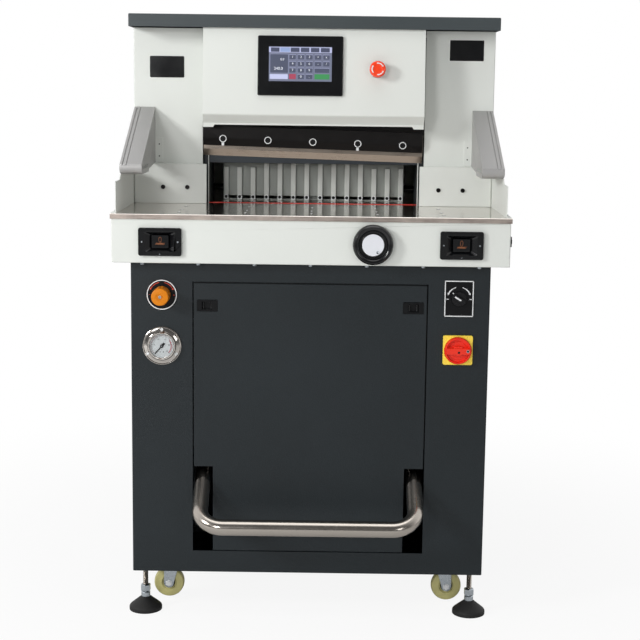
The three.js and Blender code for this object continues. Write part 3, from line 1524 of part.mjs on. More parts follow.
// Pressure gauge with a flanged case and a needle on its own post
const pressure = new THREE.Group();
pressure.position.set(-instrumentX, cabinetSetback, gaugeHeight);
const dialFace = gaugeProud - gaugeDialDepth;
const needleBack = dialFace + needleThickness;
function gaugeCaseShape() {
  const bezel = gaugeBezel / 2;
  const dial = gaugeDial / 2;
  const post = needlePost / 2;
  return turnedForward(0, 0, [
    [0, -gaugeCaseDepth], [gaugeCase / 2, -gaugeCaseDepth], [gaugeCase / 2, 0], [gaugeFlange / 2, 0],
    [gaugeFlange / 2, panelSheet], [bezel, panelSheet + seamGap], [bezel, gaugeProud - panelSheet],
    [bezel - panelSheet, gaugeProud], [dial + seamGap, gaugeProud], [dial, dialFace], [post, dialFace],
    [post, needleBack + needleThickness], [0, needleBack + needleThickness],
  ], roundSides);
}
pressure.add(piece('pressure_gauge', gaugeCaseShape(), finishes.black));

function gaugeNeedle() {
  const shape = outline(
    [-needleWidth / 2, -needleTail], [needleWidth / 2, -needleTail],
    [needleWidth / 6, needleLength - needleTail], [-needleWidth / 6, needleLength - needleTail],
  );
  const pointer = facing(shape, -needleBack - needleThickness, -needleBack);
  const hub = rod([0, -needleBack - needleThickness, 0], [0, -needleBack, 0], needleHub / 2, smallSides);
  const bore = rod([0, -needleBack - overrun, 0], [0, overrun, 0], needlePost / 2 + clearance, smallSides);
  return cut(joined(pointer, hub), bore);
}
const needle = piece('gauge_needle', gaugeNeedle(), finishes.black);
needle.rotation.y = -THREE.MathUtils.degToRad(needleRest);
pressure.add(needle);
machine.add(pressure);

// Selector switch: lettered-size plate left bare and a pointed knob
const selector = new THREE.Group();
selector.position.set(instrumentX, cabinetSetback, selectorHeight);
const selectorHalf = selectorPlateWidth / 2;
const selectorHalfHeight = selectorPlateHeight / 2;
selector.add(piece('selector_plate', joined(
  facing(roundedRectangle(-selectorHalf, selectorHalf, -selectorHalfHeight, selectorHalfHeight, plateCorner),
    -plateThickness, 0),
  rearBody(rearBlockDepth)), finishes.black));

function selectorKnobShape() {
  const radius = selectorKnob / 2;
  const back = -plateThickness - clearance;
  const base = rod([0, back - selectorKnobBase, 0], [0, back, 0], radius);
  const half = selectorGrip / 2;
  const grip = facing(outline([-half, -radius + panelSheet], [half, -radius + panelSheet],
    [half, radius - half], [0, radius], [-half, radius - half]),
  -selectorKnobProud, back - selectorKnobBase / 2);
  return joined(base, grip);
}
const selectorKnobMesh = piece('selector_knob', selectorKnobShape(), finishes.black);
selectorKnobMesh.rotation.y = -THREE.MathUtils.degToRad(selectorRest);
selector.add(selectorKnobMesh);
machine.add(selector);

// Main switch: yellow shield and red turning handle with a padlock hole
const mainSwitch = new THREE.Group();
mainSwitch.position.set(instrumentX, cabinetSetback, switchHeight);
const switchHalf = switchPlate / 2;
mainSwitch.add(piece('main_switch_plate', joined(
  facing(roundedRectangle(-switchHalf, switchHalf, -switchHalf, switchHalf, plateCorner),
    -switchPlateProud, 0),
  rearBody(rearBlockDepth)), finishes.yellow));

function switchHandleShape() {
  const radius = switchHandle / 2;
  const back = -switchPlateProud - clearance;
  const base = rod([0, back - switchHandleBase, 0], [0, back, 0], radius, roundSides, radius - panelSheet);
  const half = switchGrip / 2;
  const grip = facing(roundedRectangle(-radius + panelSheet, radius - panelSheet, -half, half, half / 2),
    -switchHandleProud, back - switchHandleBase / 2);
  const hole = rod([radius - half, -switchHandleProud - overrun, 0],
    [radius - half, back - switchHandleBase / 2, 0], half / 3, smallSides);
  return cut(joined(base, grip), hole);
}
mainSwitch.add(piece('main_switch_handle', switchHandleShape(), finishes.red));
machine.add(mainSwitch);

// Hydraulic power pack: oil tank, lid, pump motor and valve block with coils
function powerPack() {
  const right = tankLeft + tankWidth;
  const back = tankFront + tankDepth;
  const high = cabinetFloor + tankHeight;
  const tank = block(tankLeft, right, tankFront, back, cabinetFloor, high);
  const lid = block(tankLeft - tankLidLip, right + tankLidLip, tankFront - tankLidLip, back + tankLidLip,
    high - tankLid / 2, high + tankLid);
  const middle = (tankFront + back) / 2;
  const top = high + tankLid + pumpMotorHeight;
  let motor = rod([pumpX, middle, high], [pumpX, middle, top], pumpMotor / 2 - pumpMotorFin, wheelSides);
  for (let i = 0; i < pumpMotorFins; i += 1) {
    const low = high + tankLid + (i + 1) * pumpMotorHeight / (pumpMotorFins + 1);
    motor = joined(motor,
      rod([pumpX, middle, low], [pumpX, middle, low + pumpMotorFin], pumpMotor / 2, wheelSides));
  }
  const valves = block(valveX - valveBlock / 2, valveX + valveBlock / 2, middle - valveBlock / 2,
    middle + valveBlock / 2, high, high + tankLid + valveBlockHeight);
  const coilHeight = high + tankLid + valveBlockHeight / 2;
  const coil = rod([valveX, middle - valveBlock / 2 - valveCoilLength, coilHeight],
    [valveX, middle, coilHeight], valveCoil / 2, smallSides);
  return joined(tank, lid, motor, valves, coil);
}
machine.add(piece('power_pack', powerPack(), finishes.motorGrey));

export default machine;
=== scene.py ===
"""Finished look of a hydraulic paper cutter, built round its CAD frame.

Lengths in the calls are millimetres, measured as in the CAD source: X from the middle
plane, Y back from the front edge of the table, Z up from the floor.
"""
import json
import math

import bpy
from mathutils import Matrix, Vector

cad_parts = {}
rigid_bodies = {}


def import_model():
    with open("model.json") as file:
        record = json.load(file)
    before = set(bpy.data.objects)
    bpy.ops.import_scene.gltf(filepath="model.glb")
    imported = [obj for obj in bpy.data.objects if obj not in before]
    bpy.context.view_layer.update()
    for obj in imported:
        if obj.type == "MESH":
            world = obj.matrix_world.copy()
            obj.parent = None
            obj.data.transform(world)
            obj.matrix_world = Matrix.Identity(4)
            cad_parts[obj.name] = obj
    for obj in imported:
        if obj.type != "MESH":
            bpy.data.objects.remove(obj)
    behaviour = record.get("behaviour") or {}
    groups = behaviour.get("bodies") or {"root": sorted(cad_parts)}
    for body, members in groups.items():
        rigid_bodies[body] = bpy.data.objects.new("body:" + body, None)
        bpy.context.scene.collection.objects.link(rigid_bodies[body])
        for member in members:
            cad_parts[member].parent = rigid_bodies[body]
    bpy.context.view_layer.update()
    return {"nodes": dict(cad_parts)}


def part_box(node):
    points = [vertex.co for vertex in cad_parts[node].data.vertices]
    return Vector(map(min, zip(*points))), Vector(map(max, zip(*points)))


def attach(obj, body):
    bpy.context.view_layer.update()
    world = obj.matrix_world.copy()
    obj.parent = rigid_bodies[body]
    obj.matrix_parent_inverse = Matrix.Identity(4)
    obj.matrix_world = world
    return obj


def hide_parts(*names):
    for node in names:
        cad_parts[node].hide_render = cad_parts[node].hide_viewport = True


bl_info = {
    "name": "Paper cutter looks",
    "version": (1, 0, 0),
    "blender": (4, 5, 0),
    "location": "3D View > Sidebar > Cutter",
    "description": "Builds the finished pieces of a hydraulic paper cutter round its CAD frame",
    "category": "Object",
}

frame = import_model()

MM = 0.001
SIDES = ((-1, "left"), (1, "right"))

# Places that several pieces share
TABLE_TOP = 981.0
CABINET_FACE = 35.0
BODY_FACE = 355.0
CABINET_HALF, BODY_HALF, ARM_HALF, APRON_HALF = 421.5, 452.5, 452.0, 461.5
PANEL_FACE = 325.0
CONTROL_HEIGHT = 917.0
BUTTON_X = 348.5
INSTRUMENT_X = 348.5
WHEEL_X = 143.6
PIN_X, PIN_HEIGHT = -295.0, 1196.79
KNIFE_TILT = 1.513
CONSOLE_BEND, CONSOLE_LEAN = (265.0, 1205.5), 5.427
PEDAL_SLOPE = 30.0
BOLT_PITCH = 113.0
RIB_PITCH = 35.1
LATCH_X = 242.0
REGULATOR_HEIGHT, GAUGE_HEIGHT, SELECTOR_HEIGHT, SWITCH_HEIGHT = 789.0, 668.0, 788.5, 666.5
# Where the looks differ from the solids: the door's edges and the front panels' outer bend
DOOR_HALF, DRAWN_DOOR_HALF = 275.0, 273.8
DOOR_TOP, DRAWN_DOOR_TOP = 819.0, 817.8
PANEL_HALF, DRAWN_PANEL_HALF = 445.0, 450.2
FEED_SCREW_HEIGHT = 925.0


# The camera fitted to the photo: place in metres, lens and sensor in millimetres, pitch, yaw and roll
CAMERA_PLACE = (0.035623, -3.7717, 1.270479)
CAMERA_LENS, CAMERA_SENSOR = 81.69, 36.0
CAMERA_TURN = (9.044, -0.209, 0.719)
# Round lamps: place, target and size in metres, power in watts
LAMPS = {
    "key": ((-3.5, -2.8, 2.4), (0, 0, 1.0), 1.0, 96),
    "near": ((-1.7, -4.6, 1.8), (0, 0, 0.9), 1.0, 40),
    "fill": ((2.1, -4.5, 1.6), (0, 0, 0.9), 1.2, 14),
    "top": ((0.0, -0.8, 4.2), (0, 0, 0.6), 3.0, 30),
}


def local(matrix, x, y, z):
    """A frame that stands at a place, in millimetres, of another frame."""
    return matrix @ Matrix.Translation(Vector((x, y, z)) * MM)


def rotation(angle, axis):
    """A turn about an axis, in degrees."""
    return Matrix.Rotation(math.radians(angle), 4, axis)


# The frame in which the lengths above are measured: it starts at the table's front edge
MACHINE = Matrix.Translation((0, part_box("front_table")[0].y, 0))
CONSOLE = local(MACHINE, 0, *CONSOLE_BEND) @ rotation(-CONSOLE_LEAN, "X")
KNIFE = local(MACHINE, PIN_X, 0, PIN_HEIGHT) @ rotation(KNIFE_TILT, "Y")
# Y of the table's front edge in the shared frame, from which the other depths are measured
FIRST_Y = MACHINE.translation.y / MM
# Faces that meet at less than this angle, in degrees, are shaded as one curve
SMOOTH_BELOW = 32.0
# Radius of the hole that turned shapes keep on their axis
AXIS_HOLE = 0.01
OUTWARDS = rotation(90, "X")
BACKWARDS = rotation(180, "Z") @ OUTWARDS


def facing(x, y, z, stand=MACHINE):
    """A frame on an upright face: X to the right, Y up, Z out to the operator."""
    return local(stand, x, y, z) @ OUTWARDS


def circle(radius, *angles):
    """Places on a circle, at angles in degrees from X towards Y."""
    return [(radius * math.cos(math.radians(a)), radius * math.sin(math.radians(a))) for a in angles]


# Colour and nodes


def linear(code):
    """An sRGB hex colour as Blender's linear colour."""
    parts = [int(code[i:i + 2], 16) / 255 for i in (1, 3, 5)]
    return tuple(p / 12.92 if p <= 0.04045 else ((p + 0.055) / 1.055) ** 2.4 for p in parts) + (1.0,)


def add_node(tree, kind, values=None, links=None, **settings):
    """Adds a node with its settings, its socket values and the links into it."""
    made = tree.nodes.new(kind)
    for name, value in settings.items():
        setattr(made, name, value)
    for socket, value in (values or {}).items():
        made.inputs[socket].default_value = value
    for socket, source in (links or {}).items():
        tree.links.new(source, made.inputs[socket])
    return made


def new_material(name):
    """An empty node material, with its tree and its object coordinates."""
    material = bpy.data.materials.new(name)
    material.use_nodes = True
    tree = material.node_tree
    tree.nodes.clear()
    return material, tree, add_node(tree, "ShaderNodeTexCoord").outputs["Object"]


def two_tone(ramp, lo, hi):
    """Puts two shades near the ends of a ramp and gives its colour."""
    for stop, place, colour in zip(ramp.color_ramp.elements, (0.3, 0.7), (lo, hi)):
        stop.color, stop.position = colour, place
    return ramp.outputs["Color"]


def tinted(colour, share):
    """A colour made lighter, or darker below one."""
    return tuple(min(1.0, c * share) for c in colour[:3]) + (1.0,)


def surface(name, colour, roughness, metallic=0.0, grain=1.0, depth=0.02, stretch=(1, 1, 1),
            mottle=0.03, patch=160.0, sweep=0.08, cells=False, shader=None, detail=4.0):
    """A material with a fine grain that has depth, and wide patches in colour and gloss.

    grain and patch are real sizes in millimetres, and stretch draws the grain out along an axis.
    """
    material, tree, place = new_material(name)
    drawn = add_node(tree, "ShaderNodeMapping", links={"Vector": place},
                     values={"Scale": tuple(1 / (grain * MM * s) for s in stretch)})
    kind = "ShaderNodeTexVoronoi" if cells else "ShaderNodeTexNoise"
    fine = add_node(tree, kind, links={"Vector": drawn.outputs["Vector"]}, values={"Scale": 1.0})
    if not cells:
        fine.inputs["Detail"].default_value = detail
    fine = fine.outputs[0]
    wide = add_node(tree, "ShaderNodeTexNoise", links={"Vector": place},
                    values={"Scale": 1 / (patch * MM), "Detail": 3.0, "Roughness": 0.6}).outputs[0]
    mixed = add_node(tree, "ShaderNodeMath", links={0: fine, 1: wide}, operation="ADD")
    half = add_node(tree, "ShaderNodeMath", links={0: mixed.outputs[0]}, values={1: 0.5}, operation="MULTIPLY")
    ramp = add_node(tree, "ShaderNodeValToRGB", links={"Fac": half.outputs[0]}, label="Tone")
    tone = two_tone(ramp, tinted(colour, 1 - mottle), tinted(colour, 1 + mottle))
    gloss = add_node(tree, "ShaderNodeMapRange", links={"Value": half.outputs[0]}, values={
        "From Min": 0.3, "From Max": 0.7, "To Min": max(0.02, roughness - sweep), "To Max": roughness + sweep})
    bump = add_node(tree, "ShaderNodeBump", links={"Height": fine},
                    values={"Strength": 1.0, "Distance": depth * MM})
    links = {"Base Color": tone, "Roughness": gloss.outputs["Result"], "Normal": bump.outputs["Normal"]}
    skin = add_node(tree, "ShaderNodeBsdfPrincipled", links=links,
                    values={"Metallic": metallic, **(shader or {})})
    add_node(tree, "ShaderNodeOutputMaterial", links={"Surface": skin.outputs["BSDF"]})
    return material


def glass(name):
    """Float glass, 2 mm: clear, with a hard gloss that a low alpha leaves over the dial."""
    material, tree, place = new_material(name)
    smear = add_node(tree, "ShaderNodeTexNoise", links={"Vector": place}, values={"Scale": 1 / (30 * MM)})
    haze = add_node(tree, "ShaderNodeMapRange", links={"Value": smear.outputs[0]},
                    values={"To Min": 0.01, "To Max": 0.06})
    skin = add_node(tree, "ShaderNodeBsdfPrincipled", links={"Roughness": haze.outputs["Result"]},
                    values={"Base Color": linear(COLOURS["pane"]), "Alpha": 0.05, "IOR": 1.5,
                            "Specular IOR Level": 0.2})
    add_node(tree, "ShaderNodeOutputMaterial", links={"Surface": skin.outputs["BSDF"]})
    return material


def backlit(name, colour, strength=0.3, pitch=1.6):
    """A field of the display: dots of colour lit from behind, under a faint pixel grid."""
    material, tree, place = new_material(name)
    drawn = add_node(tree, "ShaderNodeMapping", links={"Vector": place},
                     values={"Scale": (1 / (pitch * MM), 0.0, 1 / (pitch * MM))})
    dots = add_node(tree, "ShaderNodeTexChecker", links={"Vector": drawn.outputs["Vector"]}, values={
        "Scale": 1.0, "Color1": tinted(colour, 0.96), "Color2": tinted(colour, 1.04)})
    skin = add_node(tree, "ShaderNodeBsdfPrincipled", values={
        "Roughness": 0.25, "Emission Strength": strength, "Coat Weight": 0.4},
        links={"Base Color": dots.outputs["Color"], "Emission Color": dots.outputs["Color"]})
    add_node(tree, "ShaderNodeOutputMaterial", links={"Surface": skin.outputs["BSDF"]})
    return material


COLOURS = {
    "covers": "#E3E6E1", "cabinet": "#1B2226", "slate": "#3B4346", "cast": "#222629", "table": "#DCD6D0",
    "edge": "#B0A49C", "blade": "#A2978C", "oxide": "#1B1919", "rim": "#EEF0F1", "clamp": "#2F353B",
    "stainless": "#B5AEA6", "polished": "#BDB8B3", "zinc": "#B7BEC4", "comb": "#9A9E99", "rib": "#D3D6D1",
    "arm": "#AEADAC", "hammered": "#6C777E", "abs": "#0F1012", "soft": "#131416", "stop": "#FF4212",
    "switch": "#F22E12", "shield": "#FFE04E", "amber": "#DC8000", "stick": "#E23A2E", "nylon": "#CFC888",
    "rubber": "#141414", "enamel": "#F2F2EE", "dial": "#D3D9DB", "disc": "#E6E8EE", "pane": "#1A1D1C",
    "black_ink": "#101012", "white_ink": "#E9EBEC", "red_ink": "#E5503A", "crimson_ink": "#B02C3E",
    "orange_ink": "#8C5430", "floor_lo": "#F7F7F6", "floor_hi": "#FBFBFA",
}

# The display's fields, as they look when they are lit
DISPLAY = {
    "field": "#6C7186", "band": "#B0B4D4", "key": "#4C5164", "edge": "#9296B4", "tab": "#464B60",
    "chosen": "#8A9CC4", "red": "#A0455A", "green": "#3F8A54", "pale": "#B9BDDC", "sign": "#E6E9F4",
}

# Each finish has its colour, its roughness and what it changes of surface()'s own settings
FINISHES = {
    # Epoxy powder coat, sprayed and baked: even colour, soft gloss, a slight orange peel
    "ivory_powder_coat": ("covers", 0.42, dict(
        grain=2.2, depth=0.05, mottle=0.012, patch=240, sweep=0.05,
        shader={"Coat Weight": 0.08, "Coat Roughness": 0.3})),
    # Wrinkle-textured powder coat: dull and dark, its 1 mm wrinkle drawn at 3 mm so that it shows
    "charcoal_textured_coat": ("cabinet", 0.48, dict(
        grain=3.0, depth=0.3, mottle=0.22, patch=300, sweep=0.07, detail=2.0,
        shader={"Specular IOR Level": 0.35})),
    # The same coat in slate on the cap: dark and even, with a fine orange peel
    "slate_powder_coat": ("slate", 0.45, dict(grain=2.4, depth=0.08, mottle=0.03, patch=220)),
    # Grey iron casting, sealed and painted: sandy skin and a low sheen
    "painted_cast_iron": ("cast", 0.55, dict(metallic=0.1, grain=4.5, depth=0.5, mottle=0.12, patch=70)),
    # Steel table, surface ground along its length and polished: clear but streaked reflections
    "ground_steel_table": ("table", 0.15, dict(
        metallic=1.0, grain=1.2, depth=0.004, stretch=(60, 1.6, 1.6), mottle=0.1, patch=90, sweep=0.05)),
    # Its front edge, milled: duller, and darker and warmer than the top, which is painted shade for the face
    # that looks forward
    "milled_steel_edge": ("edge", 0.42, dict(
        metallic=0.8, grain=1.6, depth=0.02, stretch=(30, 1, 1), mottle=0.3, patch=30, sweep=0.1)),
    # High-speed steel knife, ground along its length: fine streaks that spread the light across them
    "ground_knife_steel": ("blade", 0.3, dict(
        metallic=1.0, grain=1.0, depth=0.0012, stretch=(70, 1, 1.4), mottle=0.14, patch=110, sweep=0.06)),
    # Blued steel under oil: nearly black, broad soft gloss
    "black_oxide_steel": ("oxide", 0.38, dict(
        metallic=0.7, grain=1.6, depth=0.02, stretch=(12, 1, 1), mottle=0.12, patch=50)),
    # Rims of the socket screws and other small bright spots: pale rings with a soft sheen, a painted highlight
    "worn_screw_rim": ("rim", 0.5, dict(metallic=0.35, grain=0.9, depth=0.03, mottle=0.06, patch=12)),
    # Turned steel: fine tool marks under a clean gloss
    "machined_bright_steel": ("zinc", 0.24, dict(metallic=1.0, grain=0.9, depth=0.01, mottle=0.05, patch=20)),
    # Sprayed machine paint over the clamp's casting: blue-grey, with a low gloss
    "clamp_paint": ("clamp", 0.4, dict(metallic=0.2, grain=3.0, depth=0.1, mottle=0.06, patch=120)),
    # Stainless tube, belt ground: bright with a fine haze
    "satin_stainless_tube": ("stainless", 0.2, dict(
        metallic=1.0, grain=1.4, depth=0.002, stretch=(9, 1, 1), mottle=0.04, patch=60, sweep=0.05)),
    # Pressed and polished steel of the gauge's rings: nearly a mirror
    "polished_steel": ("polished", 0.11, dict(
        metallic=1.0, grain=1.4, depth=0.0012, mottle=0.03, patch=40, sweep=0.04)),
    # Zinc plate over pressed steel: blue-white with faint clouds
    "zinc_plated_steel": ("zinc", 0.3, dict(
        metallic=1.0, grain=6, depth=0.02, mottle=0.08, patch=18, cells=True)),
    # Aluminium back plate of the comb, milled and anodised clear: cutter lines every 1.2 mm, and darker than
    # the ribs as painted shade for the plate set back between them
    "milled_aluminium": ("comb", 0.42, dict(
        metallic=0.3, grain=1.2, depth=0.02, stretch=(1, 1, 14), mottle=0.05, patch=45)),
    # Its ribs, drawn profiles, paler and brighter than the plate: a painted highlight on their lit fronts
    "extruded_aluminium": ("rib", 0.4, dict(
        metallic=0.2, grain=1.0, depth=0.012, stretch=(1, 1, 24), mottle=0.03, patch=45)),
    # Profile of the arms, anodised: satin, with its drawing lines along Y
    "anodised_aluminium": ("arm", 0.42, dict(
        metallic=0.35, grain=1.3, depth=0.015, stretch=(1, 18, 1), mottle=0.03, patch=80)),
    # Hammer-finish enamel on the motors: dimples of about 5 mm
    "hammered_enamel": ("hammered", 0.35, dict(
        metallic=0.25, grain=5, depth=0.35, mottle=0.1, patch=60, cells=True)),
    # Moulded ABS: a spark-eroded grain with a low sheen, a hard gloss, and a soft gloss
    "moulded_black_abs": ("abs", 0.34, dict(
        grain=1.3, depth=0.03, mottle=0.08, patch=40, shader={"Specular IOR Level": 0.2})),
    "gloss_black_abs": ("abs", 0.16, dict(grain=2.0, depth=0.006, mottle=0.06, patch=60)),
    # The soft black is also painted shade where it fills the comb's bores and the lock's hole
    "soft_black_abs": ("soft", 0.42, dict(
        grain=1.0, depth=0.04, mottle=0.06, patch=40, shader={"Specular IOR Level": 0.25})),
    # Polyamide, polycarbonate and ABS mouldings: clean colour, the stop with a hard gloss
    "red_stop_plastic": ("stop", 0.28, dict(
        grain=1.5, depth=0.01, mottle=0.03, patch=30, sweep=0.04,
        shader={"Coat Weight": 0.25, "Coat Roughness": 0.12})),
    "red_switch_plastic": ("switch", 0.36, dict(grain=1.2, depth=0.02, mottle=0.03, patch=30, sweep=0.05)),
    "moulded_yellow_abs": ("shield", 0.38, dict(grain=1.2, depth=0.02, mottle=0.02, patch=40, sweep=0.05)),
    "amber_knob_plastic": ("amber", 0.4, dict(
        grain=2.0, depth=0.02, mottle=0.08, patch=16, shader={"Specular IOR Level": 0.3})),
    # Extruded PVC stick: dull, with drawing lines along its length
    "extruded_red_pvc": ("stick", 0.42, dict(grain=1.2, depth=0.02, stretch=(30, 1, 1), mottle=0.06)),
    # Cast polyamide wheels: waxy and yellowed
    "cast_cream_nylon": ("nylon", 0.42, dict(grain=2.4, depth=0.03, mottle=0.05, patch=30)),
    # Moulded rubber of the feet and the mats, nearly black and matt; the same black is painted shade on the
    # door's seam strips and the hood's foot strips
    "moulded_rubber": ("rubber", 0.68, dict(grain=1.6, depth=0.06, mottle=0.15, patch=30)),
    # Stoved enamels, and a plastic disc: pale and nearly even, with a soft gloss
    "white_enamel": ("enamel", 0.35, dict(grain=3, depth=0.01, mottle=0.012, patch=40, sweep=0.03)),
    "dial_enamel": ("dial", 0.4, dict(grain=3, depth=0.01, mottle=0.02, patch=40, sweep=0.03)),
    "white_disc_plastic": ("disc", 0.3, dict(grain=2, depth=0.01, mottle=0.012, patch=40, sweep=0.03)),
}
# Screen-printed ink: a thin even film
INK = (0.6, dict(grain=0.8, depth=0.005, mottle=0.03, patch=20))


def make(name):
    """The material of that name, made when a piece first asks for it."""
    known = bpy.data.materials.get(name)
    if known:
        return known
    key, roughness, settings = (name, *INK) if name.endswith("_ink") else FINISHES[name]
    user = bpy.context.scene.cutter_colours
    colour = tuple(getattr(user, key)) if hasattr(user, key) else linear(COLOURS[key])
    return surface(name, colour, roughness, **settings)


# Modelling steps


def about(middle, half):
    """A pair of places at the same distance from a middle."""
    return middle - half, middle + half


def near(value, place, gap=0.1):
    """True where a value lies at a place, in millimetres."""
    return abs(value - place) < gap


def deselect():
    """Leaves edit mode and selects nothing."""
    active = bpy.context.object
    if active and active.mode != "OBJECT":
        bpy.ops.object.mode_set(mode="OBJECT")
    bpy.ops.object.select_all(action="DESELECT")


def activate(*objects):
    """Selects pieces, with the first as the active one."""
    deselect()
    for obj in objects:
        obj.select_set(True)
    bpy.context.view_layer.objects.active = objects[0]


def pick_edges(obj, wanted):
    """Opens a piece with those edges selected whose two ends, in millimetres of its mesh, are wanted."""
    activate(obj)
    bpy.ops.object.mode_set(mode="EDIT")
    bpy.ops.mesh.select_mode(type="EDGE")
    bpy.ops.mesh.select_all(action="DESELECT")
    bpy.ops.object.mode_set(mode="OBJECT")
    points = [v.co / MM for v in obj.data.vertices]
    count = 0
    for edge in obj.data.edges:
        a, b = (points[i] for i in edge.vertices)
        edge.select = bool(wanted(a, b))
        count += edge.select
    if not count:
        raise RuntimeError(f"{obj.name}: no edge was found to round")
    bpy.ops.object.mode_set(mode="EDIT")


def round_edges(obj, wanted, radius, segments=3):
    """Rounds the wanted edges, and no others."""
    pick_edges(obj, wanted)
    bpy.ops.mesh.bevel(offset=radius * MM, segments=segments, affect="EDGES", clamp_overlap=True)
    bpy.ops.object.mode_set(mode="OBJECT")


def modify(obj, kind, **settings):
    """Adds a modifier with its settings and applies it."""
    activate(obj)
    modifier = obj.modifiers.new(kind.title(), kind)
    for name, value in settings.items():
        setattr(modifier, name, value)
    bpy.ops.object.modifier_apply(modifier=modifier.name)
    return obj


def soften(obj, width, segments=2, angle=30.0, clamp=False):
    """Breaks every edge that is sharper than the angle."""
    return modify(obj, "BEVEL", width=width * MM, segments=segments, limit_method="ANGLE",
                  angle_limit=math.radians(angle), use_clamp_overlap=clamp)


def settle(obj, stand):
    """Puts a piece that was drawn in a frame of its own where it belongs, with its place in its mesh."""
    activate(obj)
    obj.matrix_world = stand @ obj.matrix_world
    bpy.ops.object.transform_apply(location=True, rotation=True, scale=True)
    return obj


def added(primitive, stretch=(1, 1, 1), **settings):
    """A new primitive, stretched and placed within its own mesh."""
    deselect()
    primitive(**settings)
    obj = bpy.context.object
    obj.scale = stretch
    bpy.ops.object.transform_apply(location=True, rotation=True, scale=True)
    return obj


def turn_outwards(gap=0.0):
    """Merges points within a gap of the piece in edit mode, turns its faces outwards and leaves the mode."""
    bpy.ops.mesh.select_all(action="SELECT")
    if gap:
        bpy.ops.mesh.remove_doubles(threshold=gap * MM)
    bpy.ops.mesh.normals_make_consistent(inside=False)
    bpy.ops.object.mode_set(mode="OBJECT")


def carve(obj, tool, operation="DIFFERENCE"):
    """Cuts one piece out of another, or adds it, and removes the tool."""
    modify(obj, "BOOLEAN", operation=operation, solver="EXACT", object=tool)
    bpy.data.objects.remove(tool)
    return obj


def block(x, y, z, edge=0.0, segments=2, stand=MACHINE):
    """A block between pairs of places, with broken edges."""
    low, high = (Vector((x[i], y[i], z[i])) * MM for i in (0, 1))
    obj = added(bpy.ops.mesh.primitive_cube_add, high - low, size=1, location=(low + high) / 2)
    if edge:
        soften(obj, edge, segments)
    return settle(obj, stand)


def plate(width, height, thick, corner, edge=0.0, stand=MACHINE, at=(0, 0), lift=0.0, steps=5):
    """A plate with round corners, lying in its frame with its back at the height lift."""
    obj = added(bpy.ops.mesh.primitive_cube_add, (width * MM, height * MM, thick * MM), size=1,
                location=(at[0] * MM, at[1] * MM, (lift + thick / 2) * MM))
    if corner:
        round_edges(obj, lambda a, b: abs(a.z - b.z) > thick / 2, corner, steps)
    if edge:
        top = lift + thick
        round_edges(obj, lambda a, b: min(a.z, b.z) > top - thick / 100, edge, 2)
    return settle(obj, stand)


def turned(profile, stand=MACHINE, sides=48):
    """A shape turned about its frame's Z axis, from pairs of radius and height.

    A profile that comes back to its start is a ring; any other is closed at both ends. Where
    it meets the axis it keeps a hole too small to see, so that its rings can be scaled.
    """
    radius, height = profile[0]
    obj = added(bpy.ops.mesh.primitive_circle_add, vertices=sides, radius=max(radius, AXIS_HOLE) * MM,
                fill_type="NOTHING", location=(0, 0, height * MM))
    bpy.ops.object.mode_set(mode="EDIT")
    bpy.ops.mesh.select_mode(type="EDGE")
    bpy.ops.mesh.select_all(action="SELECT")
    for radius_next, height_next in profile[1:]:
        bpy.ops.mesh.extrude_region_move(TRANSFORM_OT_translate={
            "value": (0, 0, (height_next - height) * MM)})
        scale = max(radius_next, AXIS_HOLE) / max(radius, AXIS_HOLE)
        bpy.ops.transform.resize(value=(scale, scale, 1), center_override=(0, 0, height_next * MM))
        radius, height = radius_next, height_next
    ring = profile[0] == profile[-1]
    if not ring:
        bpy.ops.mesh.select_all(action="SELECT")
        bpy.ops.mesh.fill_holes(sides=0)
    turn_outwards(0.0005 if ring else 0.0)
    return settle(obj, stand)


def disc(radius, low, high, stand, sides):
    """A plain round disc or pin between two heights."""
    return turned([(0, low), (radius, low), (radius, high), (0, high)], stand, sides)


def tube(points, radius, stand=MACHINE, sides=4, closed=False):
    """A round tube along a route of points."""
    deselect()
    bpy.ops.curve.primitive_bezier_curve_add(location=(0, 0, 0))
    obj = bpy.context.object
    curve = obj.data
    curve.splines.clear()
    spline = curve.splines.new("POLY")
    spline.points.add(len(points) - 1)
    for point, place in zip(spline.points, points):
        point.co = (*(Vector(place) * MM), 1.0)
    spline.use_cyclic_u = closed
    curve.dimensions = "3D"
    curve.bevel_depth = radius * MM
    curve.bevel_resolution = sides
    curve.use_fill_caps = not closed
    activate(obj)
    bpy.ops.object.convert(target="MESH")
    obj = bpy.context.object
    bpy.ops.object.mode_set(mode="EDIT")
    turn_outwards(0.001)
    return settle(obj, stand)


def words(text, size, stand, at=(0, 0), lift=0.0, thick=0.15):
    """Raised numbers or marks of a plain dial or key, lying in their frame."""
    deselect()
    bpy.ops.object.text_add(location=(at[0] * MM, at[1] * MM, (lift + thick / 2) * MM))
    obj = bpy.context.object
    obj.data.body = text
    obj.data.size = size * MM
    obj.data.extrude = thick / 2 * MM
    obj.data.align_x = "CENTER"
    obj.data.align_y = "CENTER"
    obj.data.resolution_u = 3
    bpy.ops.object.convert(target="MESH")
    obj = bpy.context.object
    return settle(obj, stand)


def sector(inner, outer, start, end, thick, stand, lift=0.0, steps=14):
    """A flat arc between two angles, in degrees from X towards Y."""
    obj = added(bpy.ops.mesh.primitive_plane_add, ((outer - inner) * MM, thick * MM, 1), size=1,
                location=((inner + outer) / 2 * MM, 0, (lift + thick / 2) * MM),
                rotation=(math.radians(90), 0, 0))
    obj.rotation_euler.z = math.radians(start)
    bpy.ops.object.transform_apply(location=True, rotation=True, scale=True)
    bpy.ops.object.mode_set(mode="EDIT")
    bpy.ops.mesh.select_all(action="SELECT")
    bpy.ops.mesh.spin(steps=steps, angle=math.radians(start - end), center=(0, 0, 0), axis=(0, 0, 1))
    turn_outwards(0.0005)
    return settle(obj, stand)


